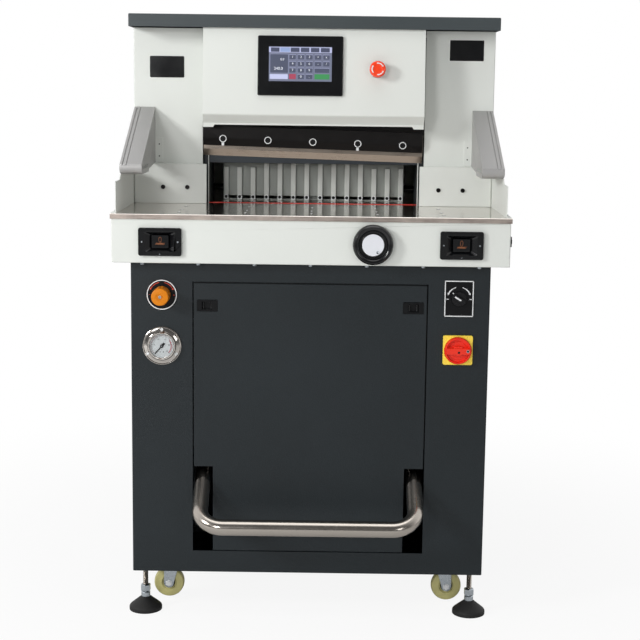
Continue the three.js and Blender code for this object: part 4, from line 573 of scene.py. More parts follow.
def arrow(radii, start, end, size, reach, thick, stand, lift, steps):
    """A flat arc between the outer two of three radii, and an arrow tip beyond its end on the middle one.

    size is the tip's radius, and reach the angle from the arc's end to the tip's middle.
    """
    turn = 1 if end > start else -1
    x, y = circle(radii[1], end + turn * reach)[0]
    point = added(bpy.ops.mesh.primitive_cylinder_add, vertices=3, radius=size * MM, depth=thick * MM,
                  location=(x * MM, y * MM, (lift + thick / 2) * MM),
                  rotation=(0, 0, math.radians(end + turn * (reach + 90) - 90)))
    return [sector(radii[0], radii[2], start, end, thick, stand, lift, steps), settle(point, stand)]


def dressed(node, edge=0.6, segments=2, angle=30.0):
    """A copy of a CAD node with its triangles merged into whole faces and its edges broken."""
    source = frame["nodes"][node]
    obj = bpy.data.objects.new(node + "_copy", source.data.copy())
    bpy.context.scene.collection.objects.link(obj)
    obj.data.materials.clear()
    activate(obj)
    bpy.ops.mesh.customdata_custom_splitnormals_clear()
    bpy.ops.object.mode_set(mode="EDIT")
    bpy.ops.mesh.select_all(action="SELECT")
    bpy.ops.mesh.remove_doubles(threshold=0.002 * MM)
    bpy.ops.mesh.dissolve_limited(angle_limit=math.radians(0.4))
    bpy.ops.object.mode_set(mode="OBJECT")
    if edge:
        soften(obj, edge, segments, angle)
    return obj


def copy_to(obj, stand):
    """A copy of a piece with its own mesh, moved by a matrix."""
    made = obj.copy()
    made.data = obj.data.copy()
    bpy.context.scene.collection.objects.link(made)
    return settle(made, stand)


def repeated(first, places):
    """Copies of one piece in several frames, joined; the first itself is taken away."""
    copies = [copy_to(first, stand) for stand in places]
    bpy.data.objects.remove(first)
    return join(*copies)


def both_sides(distance, stand=MACHINE):
    """A frame moved so far to the left and to the right."""
    return [local(stand, side * distance, 0, 0) for side in (-1, 1)]


def paint(obj, finish):
    """Gives a piece one finish."""
    obj.data.materials.clear()
    obj.data.materials.append(make(finish) if isinstance(finish, str) else finish)
    return obj


def painted(finish_name, *objects):
    """Several pieces that are given the same finish."""
    return [paint(obj, finish_name) for obj in objects]


def join(*objects):
    """One piece of several, each with its own finish."""
    activate(*objects)
    if len(objects) > 1:
        bpy.ops.object.join()
    return objects[0]


def finish(obj, name, body, slot, *nodes):
    """Names a piece, smooths its curves, hangs it on the body it rides on and hides the CAD nodes it stands
    for.
    """
    obj.name = name
    obj.data.name = name
    activate(obj)
    bpy.ops.object.shade_smooth_by_angle(angle=math.radians(SMOOTH_BELOW))
    modify(obj, "WEIGHTED_NORMAL", keep_sharp=True, weight=60)
    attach(obj, body)
    if nodes:
        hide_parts(*nodes)
    return obj


def hexagon_socket(radius, height):
    """A cap screw head with a hexagon socket, its seat at the origin."""
    head = turned([(0, 0), (radius, 0), (radius, height - radius * 0.12),
                   (radius * 0.88, height), (0, height)], sides=24, stand=Matrix())
    key = added(bpy.ops.mesh.primitive_cylinder_add, vertices=6, radius=radius / 2 * MM,
                depth=1.2 * height * MM, location=(0, 0, height * MM))
    return carve(head, key)


def screws(places, radius, height, finish_name):
    """One screw head copied to several frames and joined."""
    return paint(repeated(hexagon_socket(radius, height), places), finish_name)


def upright(wanted):
    """True for a wanted edge that runs along Z."""
    return lambda a, b: abs((a - b).normalized().z) > 0.999 and wanted(a, b)


def reversed_face(x, y, z):
    """A frame on an upright face that looks to the back."""
    return facing(x, y, z) @ rotation(180, "Y")


# Settings


class CutterColours(bpy.types.PropertyGroup):
    covers: bpy.props.FloatVectorProperty(
        name="Covers", description="Powder coat of the covers and the apron", subtype="COLOR", size=4,
        min=0, max=1, default=linear(COLOURS["covers"]))
    cabinet: bpy.props.FloatVectorProperty(
        name="Cabinet", description="Textured coat of the cabinet and its door", subtype="COLOR", size=4,
        min=0, max=1, default=linear(COLOURS["cabinet"]))
    stop: bpy.props.FloatVectorProperty(
        name="Emergency stop", description="Plastic of the mushroom head", subtype="COLOR", size=4,
        min=0, max=1, default=linear(COLOURS["stop"]))
    shield: bpy.props.FloatVectorProperty(
        name="Switch shield", description="Plastic of the main switch plate", subtype="COLOR", size=4,
        min=0, max=1, default=linear(COLOURS["shield"]))
    amber: bpy.props.FloatVectorProperty(
        name="Regulator knob", description="Plastic of the pressure regulator's knob", subtype="COLOR", size=4,
        min=0, max=1, default=linear(COLOURS["amber"]))


class CutterSizes(bpy.types.PropertyGroup):
    bend: bpy.props.FloatProperty(
        name="Sheet bend", description="Outer radius of the bends of the sheet covers, in millimetres",
        default=2.6, min=0.5, max=6)
    burr: bpy.props.FloatProperty(
        name="Broken edge", description="Bevel of the machined edges, in millimetres",
        default=0.6, min=0.1, max=2)
    cover_screw: bpy.props.FloatProperty(
        name="Cover screw", description="Head radius of the cover screws, in millimetres",
        default=5.5, min=3, max=9)
    knife_bolt: bpy.props.FloatProperty(
        name="Knife bolt", description="Head radius of the knife's bolts, in millimetres",
        default=9.6, min=6, max=12)
    air_nozzle: bpy.props.FloatProperty(
        name="Air nozzle", description="Radius of the table's air nozzles, in millimetres",
        default=4.4, min=2, max=6)


# Pieces, one operator for each group


class CUTTER_OT_cabinet(bpy.types.Operator):
    """Cabinet case, its rear cover, the front door and the two slide latches"""
    bl_idname = "cutter.cabinet"
    bl_label = "Cabinet"

    def execute(self, context):
        sizes = context.scene.cutter_sizes
        case = dressed("cabinet_shell", 0)
        round_edges(case, upright(lambda a, b: near(abs(a.x), CABINET_HALF) and abs(a.z - b.z) > 300), 3.2, 4)
        finish(paint(soften(case, 0.7), "charcoal_textured_coat"), "cabinet_case", "machine", "charcoal_paint",
               "cabinet_shell")
        rear = paint(dressed("cabinet_rear_panel", 0.6), "charcoal_textured_coat")
        heads = screws([reversed_face(x, 677, z) for x in (-388, 0, 388) for z in (162, 490, 838)],
                       sizes.cover_screw, 3.2, "zinc_plated_steel")
        # Foam filter mats lie behind the cooling slots, so that no daylight shows through the case
        mats = repeated(block(about(0, 130), (667.8, 674.8), (612, 770), 1.5, stand=Matrix()), both_sides(200))
        finish(join(rear, heads, paint(mats, "moulded_rubber")), "rear_cover", "machine", "charcoal_paint",
               "cabinet_rear_panel")
        self.door()
        self.latches()
        return {"FINISHED"}

    def door(self):
        """The door with a seam a millimetre wider than the solid's, as the photo shows it."""
        door = dressed("front_door", 0)
        for vertex in door.data.vertices:
            if abs(vertex.co.x) > (DOOR_HALF - 0.1) * MM:
                vertex.co.x *= DRAWN_DOOR_HALF / DOOR_HALF
            if vertex.co.z > (DOOR_TOP - 0.1) * MM:
                vertex.co.z = DRAWN_DOOR_TOP * MM
        front = CABINET_FACE + FIRST_Y
        round_edges(door, lambda a, b: near(a.y, front) and near(b.y, front)
                    and max(abs(a.x), abs(b.x)) > 228 and (a - b).length > 60, 1.7, 3)
        soften(door, 0.5)
        # Dark strips fill the rest of the solid's width: painted shade that makes the seam read black, and they
        # keep daylight out of it
        seam_shade_strips = repeated(block(about(0, 0.6), (39, 43), (424, 818.4), 0.2, stand=Matrix()), both_sides(274.3))
        seam_shade_strips = join(seam_shade_strips, block((-274, 274), (39, 43), (817.4, 818.8), 0.2))
        finish(join(paint(door, "charcoal_textured_coat"), paint(seam_shade_strips, "moulded_rubber")), "door_skin",
               "door", "charcoal_paint", "front_door")

    def latches(self):
        """Two slide latches with their grips, and the fixed bezels and cases in which they travel."""
        plain = Matrix()
        grips = repeated(block(about(0, 2.4), (36.4, 42), (755.5, 773.5), 2.1, 4, plain), both_sides(9, plain))
        bezel = carve(block(about(0, 24.4), (33.7, 35.1), (751.3, 777.7), stand=plain),
                      block(about(0, 12.5), (30, 40), (754.8, 774.2), stand=plain))
        back = block(about(0, 24), (49.7, 51.2), (750, 779), 0.4, stand=plain)
        ends = [block(about(0, 24), (37.2, 50), (z, z + 1.4), 0.3, stand=plain) for z in (750, 777.6)]
        walls = [block((x, x + 1.2), (37.2, 50), (750, 779), 0.3, stand=plain) for x in (-24.4, 23.2)]
        case = join(soften(bezel, 0.5), back, *ends, *walls)
        for (_, word), stand in zip(SIDES, both_sides(LATCH_X)):
            node = "door_latch_" + word
            slider = paint(dressed(node, 0.8), "moulded_black_abs")
            finish(join(slider, paint(copy_to(grips, stand), "gloss_black_abs")), "latch_slider_" + word,
                   "latch_" + word, "black_plastic", node)
            finish(paint(copy_to(case, stand), "moulded_black_abs"), "latch_case_" + word, "door",
                   "black_plastic")
        bpy.data.batch_remove((grips, case))


class CUTTER_OT_tables(bpy.types.Operator):
    """Front table with its air nozzles, rear table and the cutting stick"""
    bl_idname = "cutter.tables"
    bl_label = "Tables"

    def execute(self, context):
        sizes = context.scene.cutter_sizes
        table = paint(dressed("front_table", sizes.burr), "ground_steel_table")
        # The forward-facing edge takes the darker, warmer finish: painted shade
        table.data.materials.append(make("milled_steel_edge"))
        for face in table.data.polygons:
            if face.normal.y < -0.9 and face.center.y < FIRST_Y * MM + 0.001:
                face.material_index = 1
        finish(table, "front_table_plate", "machine", "ground_steel", "front_table")
        places = [local(MACHINE, x, y, TABLE_TOP) for x in (-310, -155, 0, 155, 310) for y in (60, 132, 235)]
        finish(repeated(self.nozzle(sizes.air_nozzle), places), "air_nozzles", "machine", "zinc_plate")
        rear = paint(dressed("rear_table", sizes.burr), "ground_steel_table")
        finish(rear, "rear_table_plate", "machine", "ground_steel", "rear_table")
        stick = paint(dressed("cutting_stick", 0.5), "extruded_red_pvc")
        finish(stick, "cutting_stick_bar", "machine", "stick_red", "cutting_stick")
        return {"FINISHED"}

    def nozzle(self, radius):
        """A sprung ball in its cup, which blows air under the paper when it is pressed."""
        cup = turned([(radius, 0), (radius, 0.25), (radius * 0.9, 0.4), (radius * 0.8, 0.25),
                      (radius * 0.7, 0.02), (radius, 0)], Matrix(), 24)
        # The ball is near-white: a painted highlight
        ball = turned([(radius * 0.66, 0), (radius * 0.6, 0.5), (radius * 0.42, 0.95), (radius * 0.2, 1.2),
                       (0, 1.27)], Matrix(), 24)
        return join(paint(cup, "soft_black_abs"), paint(ball, "worn_screw_rim"))


class CUTTER_OT_frame(bpy.types.Operator):
    """Cast frame with the two hydraulic cylinders and the power pack"""
    bl_idname = "cutter.cast_frame"
    bl_label = "Frame and hydraulics"

    def execute(self, context):
        body = paint(dressed("main_frame", 2.0, 3), "painted_cast_iron")
        # The posts' inner corners beside the throat are given the covers' pale paint: a painted highlight for
        # the light that a machined edge catches there
        body.data.materials.append(make("ivory_powder_coat"))
        for face in body.data.polygons:
            x, y, z = face.center / MM
            if 264.9 < abs(x) < 267.6 and 371 < y - FIRST_Y < 373.6 and z > TABLE_TOP:
                face.material_index = 1
        finish(body, "cast_frame_body", "machine", "cast_frame", "main_frame")
        stand = local(MACHINE, 0, 450, 0)
        barrel = turned([(18.4, 1225), (34, 1225), (40, 1229), (40, 1400), (57, 1400), (58, 1401),
                         (58, 1409), (57, 1410), (0, 1410)], stand, 48)
        bolts = screws([local(stand, x, y, 1410) for x, y in circle(49, *range(30, 360, 60))], 5, 5,
                       "black_oxide_steel")
        finish(join(paint(barrel, "hammered_enamel"), bolts), "clamp_cylinder_body", "machine", "machine_grey",
               "clamp_cylinder")
        stand = local(MACHINE, PIN_X, 382, 0)
        barrel = turned([(0, 120), (54, 120), (55, 121), (55, 135), (54, 136), (42, 136), (42, 594), (40, 600),
                         (15.4, 600), (15.4, 300), (0, 300)], stand, 48)
        ports = repeated(turned([(0, 0), (11, 0), (11, 9), (8, 9), (8, 14), (0, 14)], OUTWARDS, 6),
                         [local(stand, 0, -40, z) for z in (160, 560)])
        bolts = screws([local(stand, x, y, 136) for x, y in circle(48.5, *range(0, 360, 60))], 5, 5,
                       "black_oxide_steel")
        finish(join(paint(barrel, "hammered_enamel"), paint(ports, "zinc_plated_steel"), bolts),
               "knife_cylinder_body", "machine", "machine_grey", "knife_cylinder")
        self.power_pack()
        return {"FINISHED"}

    def power_pack(self):
        """Tank and lid, finned pump motor with its terminal box, valve block and coil, filler cap."""
        tank = paint(block((-190, 210), (300, 540), (120, 346), 3, 3), "hammered_enamel")
        lid = paint(block((-198, 218), (292, 548), (346, 358), 2, 2), "hammered_enamel")
        motor = [(0, 358)]
        for low in range(372, 556, 16):
            motor += [(67, low), (75, low + 2), (75, low + 7), (67, low + 9)]
        motor += [(67, 556), (60, 567), (0, 568)]
        body = paint(turned(motor, local(MACHINE, 110, 420, 0), 40), "hammered_enamel")
        box = paint(block((50, 74), (395, 445), (430, 500), 3, 3), "moulded_black_abs")
        valves = paint(block((-135, -45), (375, 465), (350, 468), 1.2, 2), "machined_bright_steel")
        coil = paint(turned([(0, -45), (17, -45), (17, 57), (13, 60), (6, 60), (6, 64), (0, 64)],
                            facing(-90, 375, 413), 32), "moulded_black_abs")
        cap = paint(turned([(0, 358), (22, 358), (22, 372), (19, 376), (0, 376)],
                           local(MACHINE, -150, 330, 0), 32), "zinc_plated_steel")
        bolts = screws([local(MACHINE, x, y, 358) for x in (-185, 0, 205) for y in (304, 536)], 5, 5,
                       "zinc_plated_steel")
        finish(join(tank, lid, body, box, valves, coil, cap, bolts), "hydraulic_unit", "machine",
               "machine_grey", "power_pack")


class CUTTER_OT_knife(bpy.types.Operator):
    """Knife, its beam with five bolts, the pull bar and the clamp"""
    bl_idname = "cutter.knife"
    bl_label = "Knife and clamp"

    def execute(self, context):
        sizes = context.scene.cutter_sizes
        finish(paint(dressed("knife", 0.15, 1, 20), "ground_knife_steel"), "knife_blade", "knife_carriage",
               "blade_steel", "knife")
        beam = self.beam()
        radius = sizes.knife_bolt
        seats = [self.seat(i, -51) for i in range(5)]
        # The bolts' rims are near-white: a painted highlight on their chamfers
        rim = turned([(radius * 0.74, 1.6), (radius * 0.74, 3.0), (radius * 0.9, 3.2), (radius, 2.6),
                      (radius, 0), (radius * 0.74, 0), (radius * 0.74, 1.6)], Matrix(), 40)
        rims = paint(repeated(rim, seats), "worn_screw_rim")
        heads = screws(seats, radius * 0.74, 1.9, "soft_black_abs")
        finish(join(beam, heads, rims), "knife_beam_body", "knife_carriage", "cast_frame", "knife_beam")
        bar = paint(dressed("pull_bar", sizes.burr), "machined_bright_steel")
        finish(bar, "pull_bar_body", "knife_drive", "ground_steel", "pull_bar")
        clamp = paint(dressed("clamp_beam", 1.2, 3), "clamp_paint")
        finish(clamp, "clamp_beam_body", "clamp", "slate_paint", "clamp_beam")
        return {"FINISHED"}

    def seat(self, index, up):
        """A place on the beam's face in line with one of its five bolts."""
        return facing((index - 2) * BOLT_PITCH - PIN_X, 340, up, KNIFE)

    def beam(self):
        """The beam with broken edges, and the two bright slots below its first and fourth bolt."""
        beam = paint(soften(dressed("knife_beam", 0), 0.8, 2), "black_oxide_steel")
        # The slots are pale plates: a painted highlight
        slots = repeated(plate(6.4, 8.4, 0.4, 0.6, 0, Matrix()), [self.seat(i, -64.2) for i in (0, 3)])
        return join(beam, paint(slots, "worn_screw_rim"))


class CUTTER_OT_gauge(bpy.types.Operator):
    """Back gauge comb with its nut, lead screw and motor"""
    bl_idname = "cutter.gauge"
    bl_label = "Back gauge"

    def execute(self, context):
        half, face, plate_front = 236.0, 470.0, 480.0
        low, top, outer_top = 981.3, 1080.5, 1066.0
        back = join(block((-half, half), (plate_front, 492), (992, top), 0.8),
                    block((-half, half), (plate_front, 492), (low, 984), 0.3),
                    block((-half, half), (491, 515), (992, 1003), 0.8),
                    block((-11.7, 11.7), (494, 512.5), (FEED_SCREW_HEIGHT, 993), 0.6))
        # Fourteen ribs, of which the three at each side are lower, each with a rimmed bore near its foot
        places = [(i - 6.5) * RIB_PITCH for i in range(14)]
        ribs = [repeated(block(about(0, 6.15), (face, 481), (low, high), 0.5, stand=Matrix()),
                         [local(MACHINE, x, 0, 0) for x in row])
                for high, row in ((outer_top, places[:3] + places[-3:]), (top, places[3:-3]))]
        seats = [facing(x, face, 989) for x in places]
        # The bores' rims are near-white: a painted highlight
        rims = repeated(turned([(4.1, -1), (4.1, 1.2), (5.6, 1.4), (6.1, 0.9), (6.1, -1), (4.1, -1)],
                               Matrix(), 28), seats)
        # The bores are thin black discs: painted shade for the holes
        bores = repeated(disc(4.1, 0, 0.3, Matrix(), 20), seats)
        # The ribs are painted paler and the plate darker: painted highlight and painted shade
        comb = join(paint(join(*ribs), "extruded_aluminium"), paint(back, "milled_aluminium"))
        nut = turned([(10.4, 0), (24, 0), (24, 4), (20, 4.6), (20, 40), (10.4, 40), (10.4, 0)],
                     facing(0, 512.5, FEED_SCREW_HEIGHT), 40)
        finish(join(comb, paint(rims, "worn_screw_rim"), paint(bores, "soft_black_abs"),
                    paint(nut, "machined_bright_steel")), "gauge_comb", "gauge", "gauge_aluminium",
               "back_gauge")
        self.screw()
        self.motor()
        return {"FINISHED"}

    def screw(self):
        """A trapezoidal thread: one pitch of its outline carried round and along by the screw modifier."""
        start, end, pitch = 392.0, 945.0, 8.0
        obj = added(bpy.ops.mesh.primitive_plane_add, size=MM)
        outline = [(8.0, 0.0), (9.9, 1.6), (9.9, 4.2), (8.0, 5.8), (8.0, pitch)]
        obj.data.clear_geometry()
        obj.data.from_pydata([(r * MM, 0, z * MM) for r, z in outline],
                             [(i, i + 1) for i in range(len(outline) - 1)], [])
        turns = int((end - start) / pitch)
        modify(obj, "SCREW", screw_offset=pitch * MM, iterations=turns, steps=18, render_steps=18,
               axis="Z", use_merge_vertices=True, merge_threshold=0.01 * MM, use_normal_calculate=True)
        settle(obj, facing(0, end, FEED_SCREW_HEIGHT))
        journals = turned([(0, 0), (6, 0), (6, 8.5), (8.6, 9), (8.6, 561), (6, 561.5), (6, 568.4), (0, 568.4)],
                          facing(0, 953.7, FEED_SCREW_HEIGHT), 32)
        finish(paint(join(obj, journals), "machined_bright_steel"), "feed_screw", "screw", "ground_steel",
               "lead_screw")

    def motor(self):
        """The gauge's drive motor with its nine cooling fins and its shaft end."""
        stand = facing(0, 954, 830)
        profile = [(0, 0), (34, 0), (35, 1), (35, 12)]
        for start in range(14, 86, 8):
            profile += [(32, start), (32, start + 3), (35, start + 4), (35, start + 7)]
        profile += [(35, 96), (31, 105), (0, 105)]
        body = paint(turned(profile, stand, 44), "hammered_enamel")
        shaft = paint(disc(6, -8, 1, stand, 24), "machined_bright_steel")
        finish(join(body, shaft), "feed_motor", "machine", "machine_grey", "gauge_motor")


class CUTTER_OT_covers(bpy.types.Operator):
    """Side covers, front panels, top cap, rear hood, console and side guards"""
    bl_idname = "cutter.covers"
    bl_label = "Covers"

    def execute(self, context):
        sizes = context.scene.cutter_sizes
        bend = sizes.bend
        for side, word in SIDES:
            self.side_cover(side, word, bend)
            self.front_panel(side, word, sizes.cover_screw)
            node = "side_guard_" + word
            guard = paint(dressed(node, 0.5), "ivory_powder_coat")
            heads = screws([local(MACHINE, side * 457.5, y, 983) for y in (60, 200, 320)], 3.4, 2.4,
                           "zinc_plated_steel")
            finish(join(guard, heads), "guard_" + word, "machine", "ivory_paint", node)
        cap = dressed("top_cap", 0)
        round_edges(cap, lambda a, b: min(a.z, b.z) > 1446.9 and (a - b).length > 200
                    or abs(a.z - b.z) > 30 and min(a.y, b.y) < -100, bend, 4)
        soften(cap, 0.5)
        finish(paint(cap, "slate_powder_coat"), "cap", "machine", "slate_paint", "top_cap")
        hood = paint(dressed("rear_hood", 0.6), "ivory_powder_coat")
        heads = screws([reversed_face(x, 627.3, z) for x in (-290, 290) for z in (1200, 1310, 1420)],
                       sizes.cover_screw, 3, "zinc_plated_steel")
        # A dark strip round the hood's foot, where it stands on the table: it stops light under the foot, and
        # its black is painted shade
        hood_foot_shade = repeated(block(about(0, 4), (628, 960), (981.2, 991), 1, stand=Matrix()), both_sides(302))
        hood_foot_shade = join(hood_foot_shade, block((-306, 306), (956, 965.4), (981.2, 991), 1))
        finish(join(hood, heads, paint(hood_foot_shade, "moulded_rubber")), "hood", "machine", "ivory_paint",
               "rear_hood")
        self.console(bend)
        return {"FINISHED"}

    def side_cover(self, side, word, bend):
        """A side cover with a bare plate: plain black at the left, black with a white rim at the right."""
        node = "side_cover_" + word
        cover = dressed(node, 0)
        round_edges(cover, upright(lambda a, b: abs(a.z - b.z) > 150 and near(abs(a.x), BODY_HALF)), bend, 4)
        soften(cover, 0.5)
        x, z, width, height, rim = (-369, 1320.5, 86, 53, 0) if side < 0 else (381, 1369, 88, 54, 1.4)
        stand = facing(x, BODY_FACE, z)
        bare = [paint(plate(width - 2 * rim, height - 2 * rim, 0.9, 3 - rim, 0.25, stand), "gloss_black_abs")]
        if rim:
            bare.append(paint(plate(width, height, 0.6, 3, 0.2, stand), "white_enamel"))
        finish(join(paint(cover, "ivory_powder_coat"), *bare), "cover_" + word, "machine", "ivory_paint", node)

    def front_panel(self, side, word, screw):
        """A lower front panel, drawn wider than the solid and with the wide bend of the photo."""
        node = "front_panel_" + word
        panel = dressed(node, 0)
        for vertex in panel.data.vertices:
            if abs(vertex.co.x) > (PANEL_HALF - 0.1) * MM:
                vertex.co.x = side * DRAWN_PANEL_HALF * MM
        front = PANEL_FACE + FIRST_Y + 0.1
        round_edges(panel, lambda a, b: max(a.y, b.y) < front
                    and all(near(abs(p.x), DRAWN_PANEL_HALF) for p in (a, b)), 5.0, 5)
        round_edges(panel, lambda a, b: max(a.y, b.y) < front and min(a.z, b.z) > 1079.9
                    and (a - b).length > 50, 1.6, 3)
        soften(panel, 0.5)
        heads = screws([facing(side * x, PANEL_FACE, 1022) for x in (316, 377)], screw, 3, "black_oxide_steel")
        finish(join(paint(panel, "ivory_powder_coat"), heads), "panel_" + word, "machine", "ivory_paint", node)

    def console(self, bend):
        """The console cover, bent where its upper face meets the slanted lower band."""
        cover = dressed("console_cover", 0)
        depth, height = CONSOLE_BEND
        front = depth + FIRST_Y
        round_edges(cover, lambda a, b: near(a.z, height, 0.5) and near(b.z, height, 0.5)
                    and near(a.y, front, 1) and near(b.y, front, 1), bend, 4)
        finish(paint(soften(cover, 0.5), "ivory_powder_coat"), "console", "machine", "ivory_paint",
               "console_cover")


class CUTTER_OT_arms(bpy.types.Operator):
    """Light-curtain arms with their end caps, windows and flange screws"""
    bl_idname = "cutter.arms"
    bl_label = "Light-curtain arms"

    def execute(self, context):
        for side, word in SIDES:
            node = "light_arm_" + word
            arm = dressed(node, 0)
            round_edges(arm, lambda a, b: near(abs(a.x), ARM_HALF) and near(abs(b.x), ARM_HALF), 3.0, 3)
            paint(soften(arm, 0.6), "anodised_aluminium")
            # The flange that is screwed to the cover has the cover's paint
            arm.data.materials.append(make("ivory_powder_coat"))
            for face in arm.data.polygons:
                if abs(face.center.x) < 399.5 * MM and face.center.y > (350 + FIRST_Y) * MM:
                    face.material_index = 1
            heads = screws([facing(side * 389, 352.2, z) for z in (1098, 1128)], 1.7, 1.0, "black_oxide_steel")
            window = paint(block(about(side * 399, 0.4), (100, 200), (1078, 1086), 0.3),
                           "gloss_black_abs")
            finish(join(arm, heads, window), "curtain_arm_" + word, "machine", "arm_aluminium", node)
        return {"FINISHED"}


class CUTTER_OT_apron(bpy.types.Operator):
    """Apron with its lip screws, the two button units and the handwheel"""
    bl_idname = "cutter.apron"
    bl_label = "Apron and its controls"

    def execute(self, context):
        sizes = context.scene.cutter_sizes
        apron = dressed("apron", 0)
        front = 4 + FIRST_Y
        round_edges(apron, lambda a, b: near(a.y, front) and near(b.y, front)
                    and (abs(a.z - b.z) > 60 and near(abs(a.x), APRON_HALF) or max(a.z, b.z) < 867.1),
                    sizes.bend, 4)
        paint(soften(apron, 0.5), "ivory_powder_coat")
        clip = join(block((461.3, 464.6), (8, 34), (914, 938), 1.2, 3),
                    block((464, 466), (14, 28), (921, 931), 0.6))
        finish(join(apron, paint(clip, "soft_black_abs")), "apron_sheet", "machine", "ivory_paint", "apron")
        lips = screws([facing(i * 130.5, 14, 867) @ OUTWARDS for i in range(-3, 4)], 4.6, 4.6,
                      "zinc_plated_steel")
        finish(lips, "apron_screws", "machine", "zinc_plate")
        for side, word in SIDES:
            self.button(side, word)
        self.handwheel()
        return {"FINISHED"}

    def button(self, side, word):
        """A button housing with two screws and a lamp, and its cut button with the knife sign."""
        node = "button_housing_" + word
        unit = dressed(node, 0)
        round_edges(unit, lambda a, b: min(abs(a.x - b.x), abs(a.y - b.y), abs(a.z - b.z)) > 3, 4.0, 4)
        paint(soften(unit, 0.8, 3), "gloss_black_abs")
        stand = facing(side * BUTTON_X, -4, CONTROL_HEIGHT)
        heads = screws([local(stand, x, 0, 0) for x in (-41.5, 41.5)], 1.9, 1.0, "zinc_plated_steel")
        lamp = paint(turned([(0, 0), (1.2, 0), (1.2, 0.5), (0, 0.9)], local(stand, 0, -28, 0), 20),
                     "machined_bright_steel")
        finish(join(unit, heads, lamp), "button_unit_" + word, "machine", "black_plastic", node)
        node = "cut_button_" + word
        key = paint(dressed(node, 1.4, 3), "gloss_black_abs")
        face = facing(side * BUTTON_X, 4, CONTROL_HEIGHT)
        oval = [(2.9 * math.sin(a), 4.6 + 6.2 * math.cos(a), 0.1)
                for a in (math.radians(15 * i) for i in range(24))]
        ring = tube(oval, 0.5, face, 2, closed=True)
        bar = tube([(-10.6, -6.6, 0.1), (9.4, -6.6, 0.1), (11.2, -3.0, 0.1), (-8.8, -3.0, 0.1)], 0.5, face, 2,
                   closed=True)
        mark = plate(17, 2.0, 0.3, 0.3, 0, face, at=(0, -4.8))
        finish(join(key, paint(join(ring, bar, mark), "orange_ink")), "cut_key_" + word, "button_" + word,
               "black_plastic", node)

    def handwheel(self):
        """The black wheel with its grip ring, white disc and finger bearing."""
        stand = facing(WHEEL_X, 4, CONTROL_HEIGHT)
        rim = turned([(0, -24), (5, -24), (5, 0.4), (40, 0.4), (44.5, 2.4), (46.6, 6.5), (47, 11), (46.4, 16),
                      (44.5, 20), (41.5, 22), (38.8, 22), (36, 20.8), (33.6, 17.6), (32.5, 15.2), (27.5, 15),
                      (27.5, 16.5), (26, 17), (0, 17)], stand, 96)
        ring = turned([(31.4, 15), (33, 15), (33, 16.9), (32.2, 17.3), (31.4, 16.9), (31.4, 15)], stand, 96)
        cap = turned([(0, 16.5), (25.2, 16.5), (25.2, 19.4), (24.4, 20), (23.2, 20.1), (22.8, 19.8),
                       (0, 19.8)], stand, 96)
        spin = turned([(0, 0), (3.4, 0), (3.4, 1.6), (2.9, 2), (1.6, 1.2), (0, 1)],
                      local(stand, 10.3, -16.7, 19.8), 32)
        finish(join(paint(rim, "gloss_black_abs"), paint(ring, "soft_black_abs"),
                    paint(cap, "white_disc_plastic"), paint(spin, "machined_bright_steel")),
               "feed_handwheel", "gauge_wheel", "black_plastic", "handwheel")


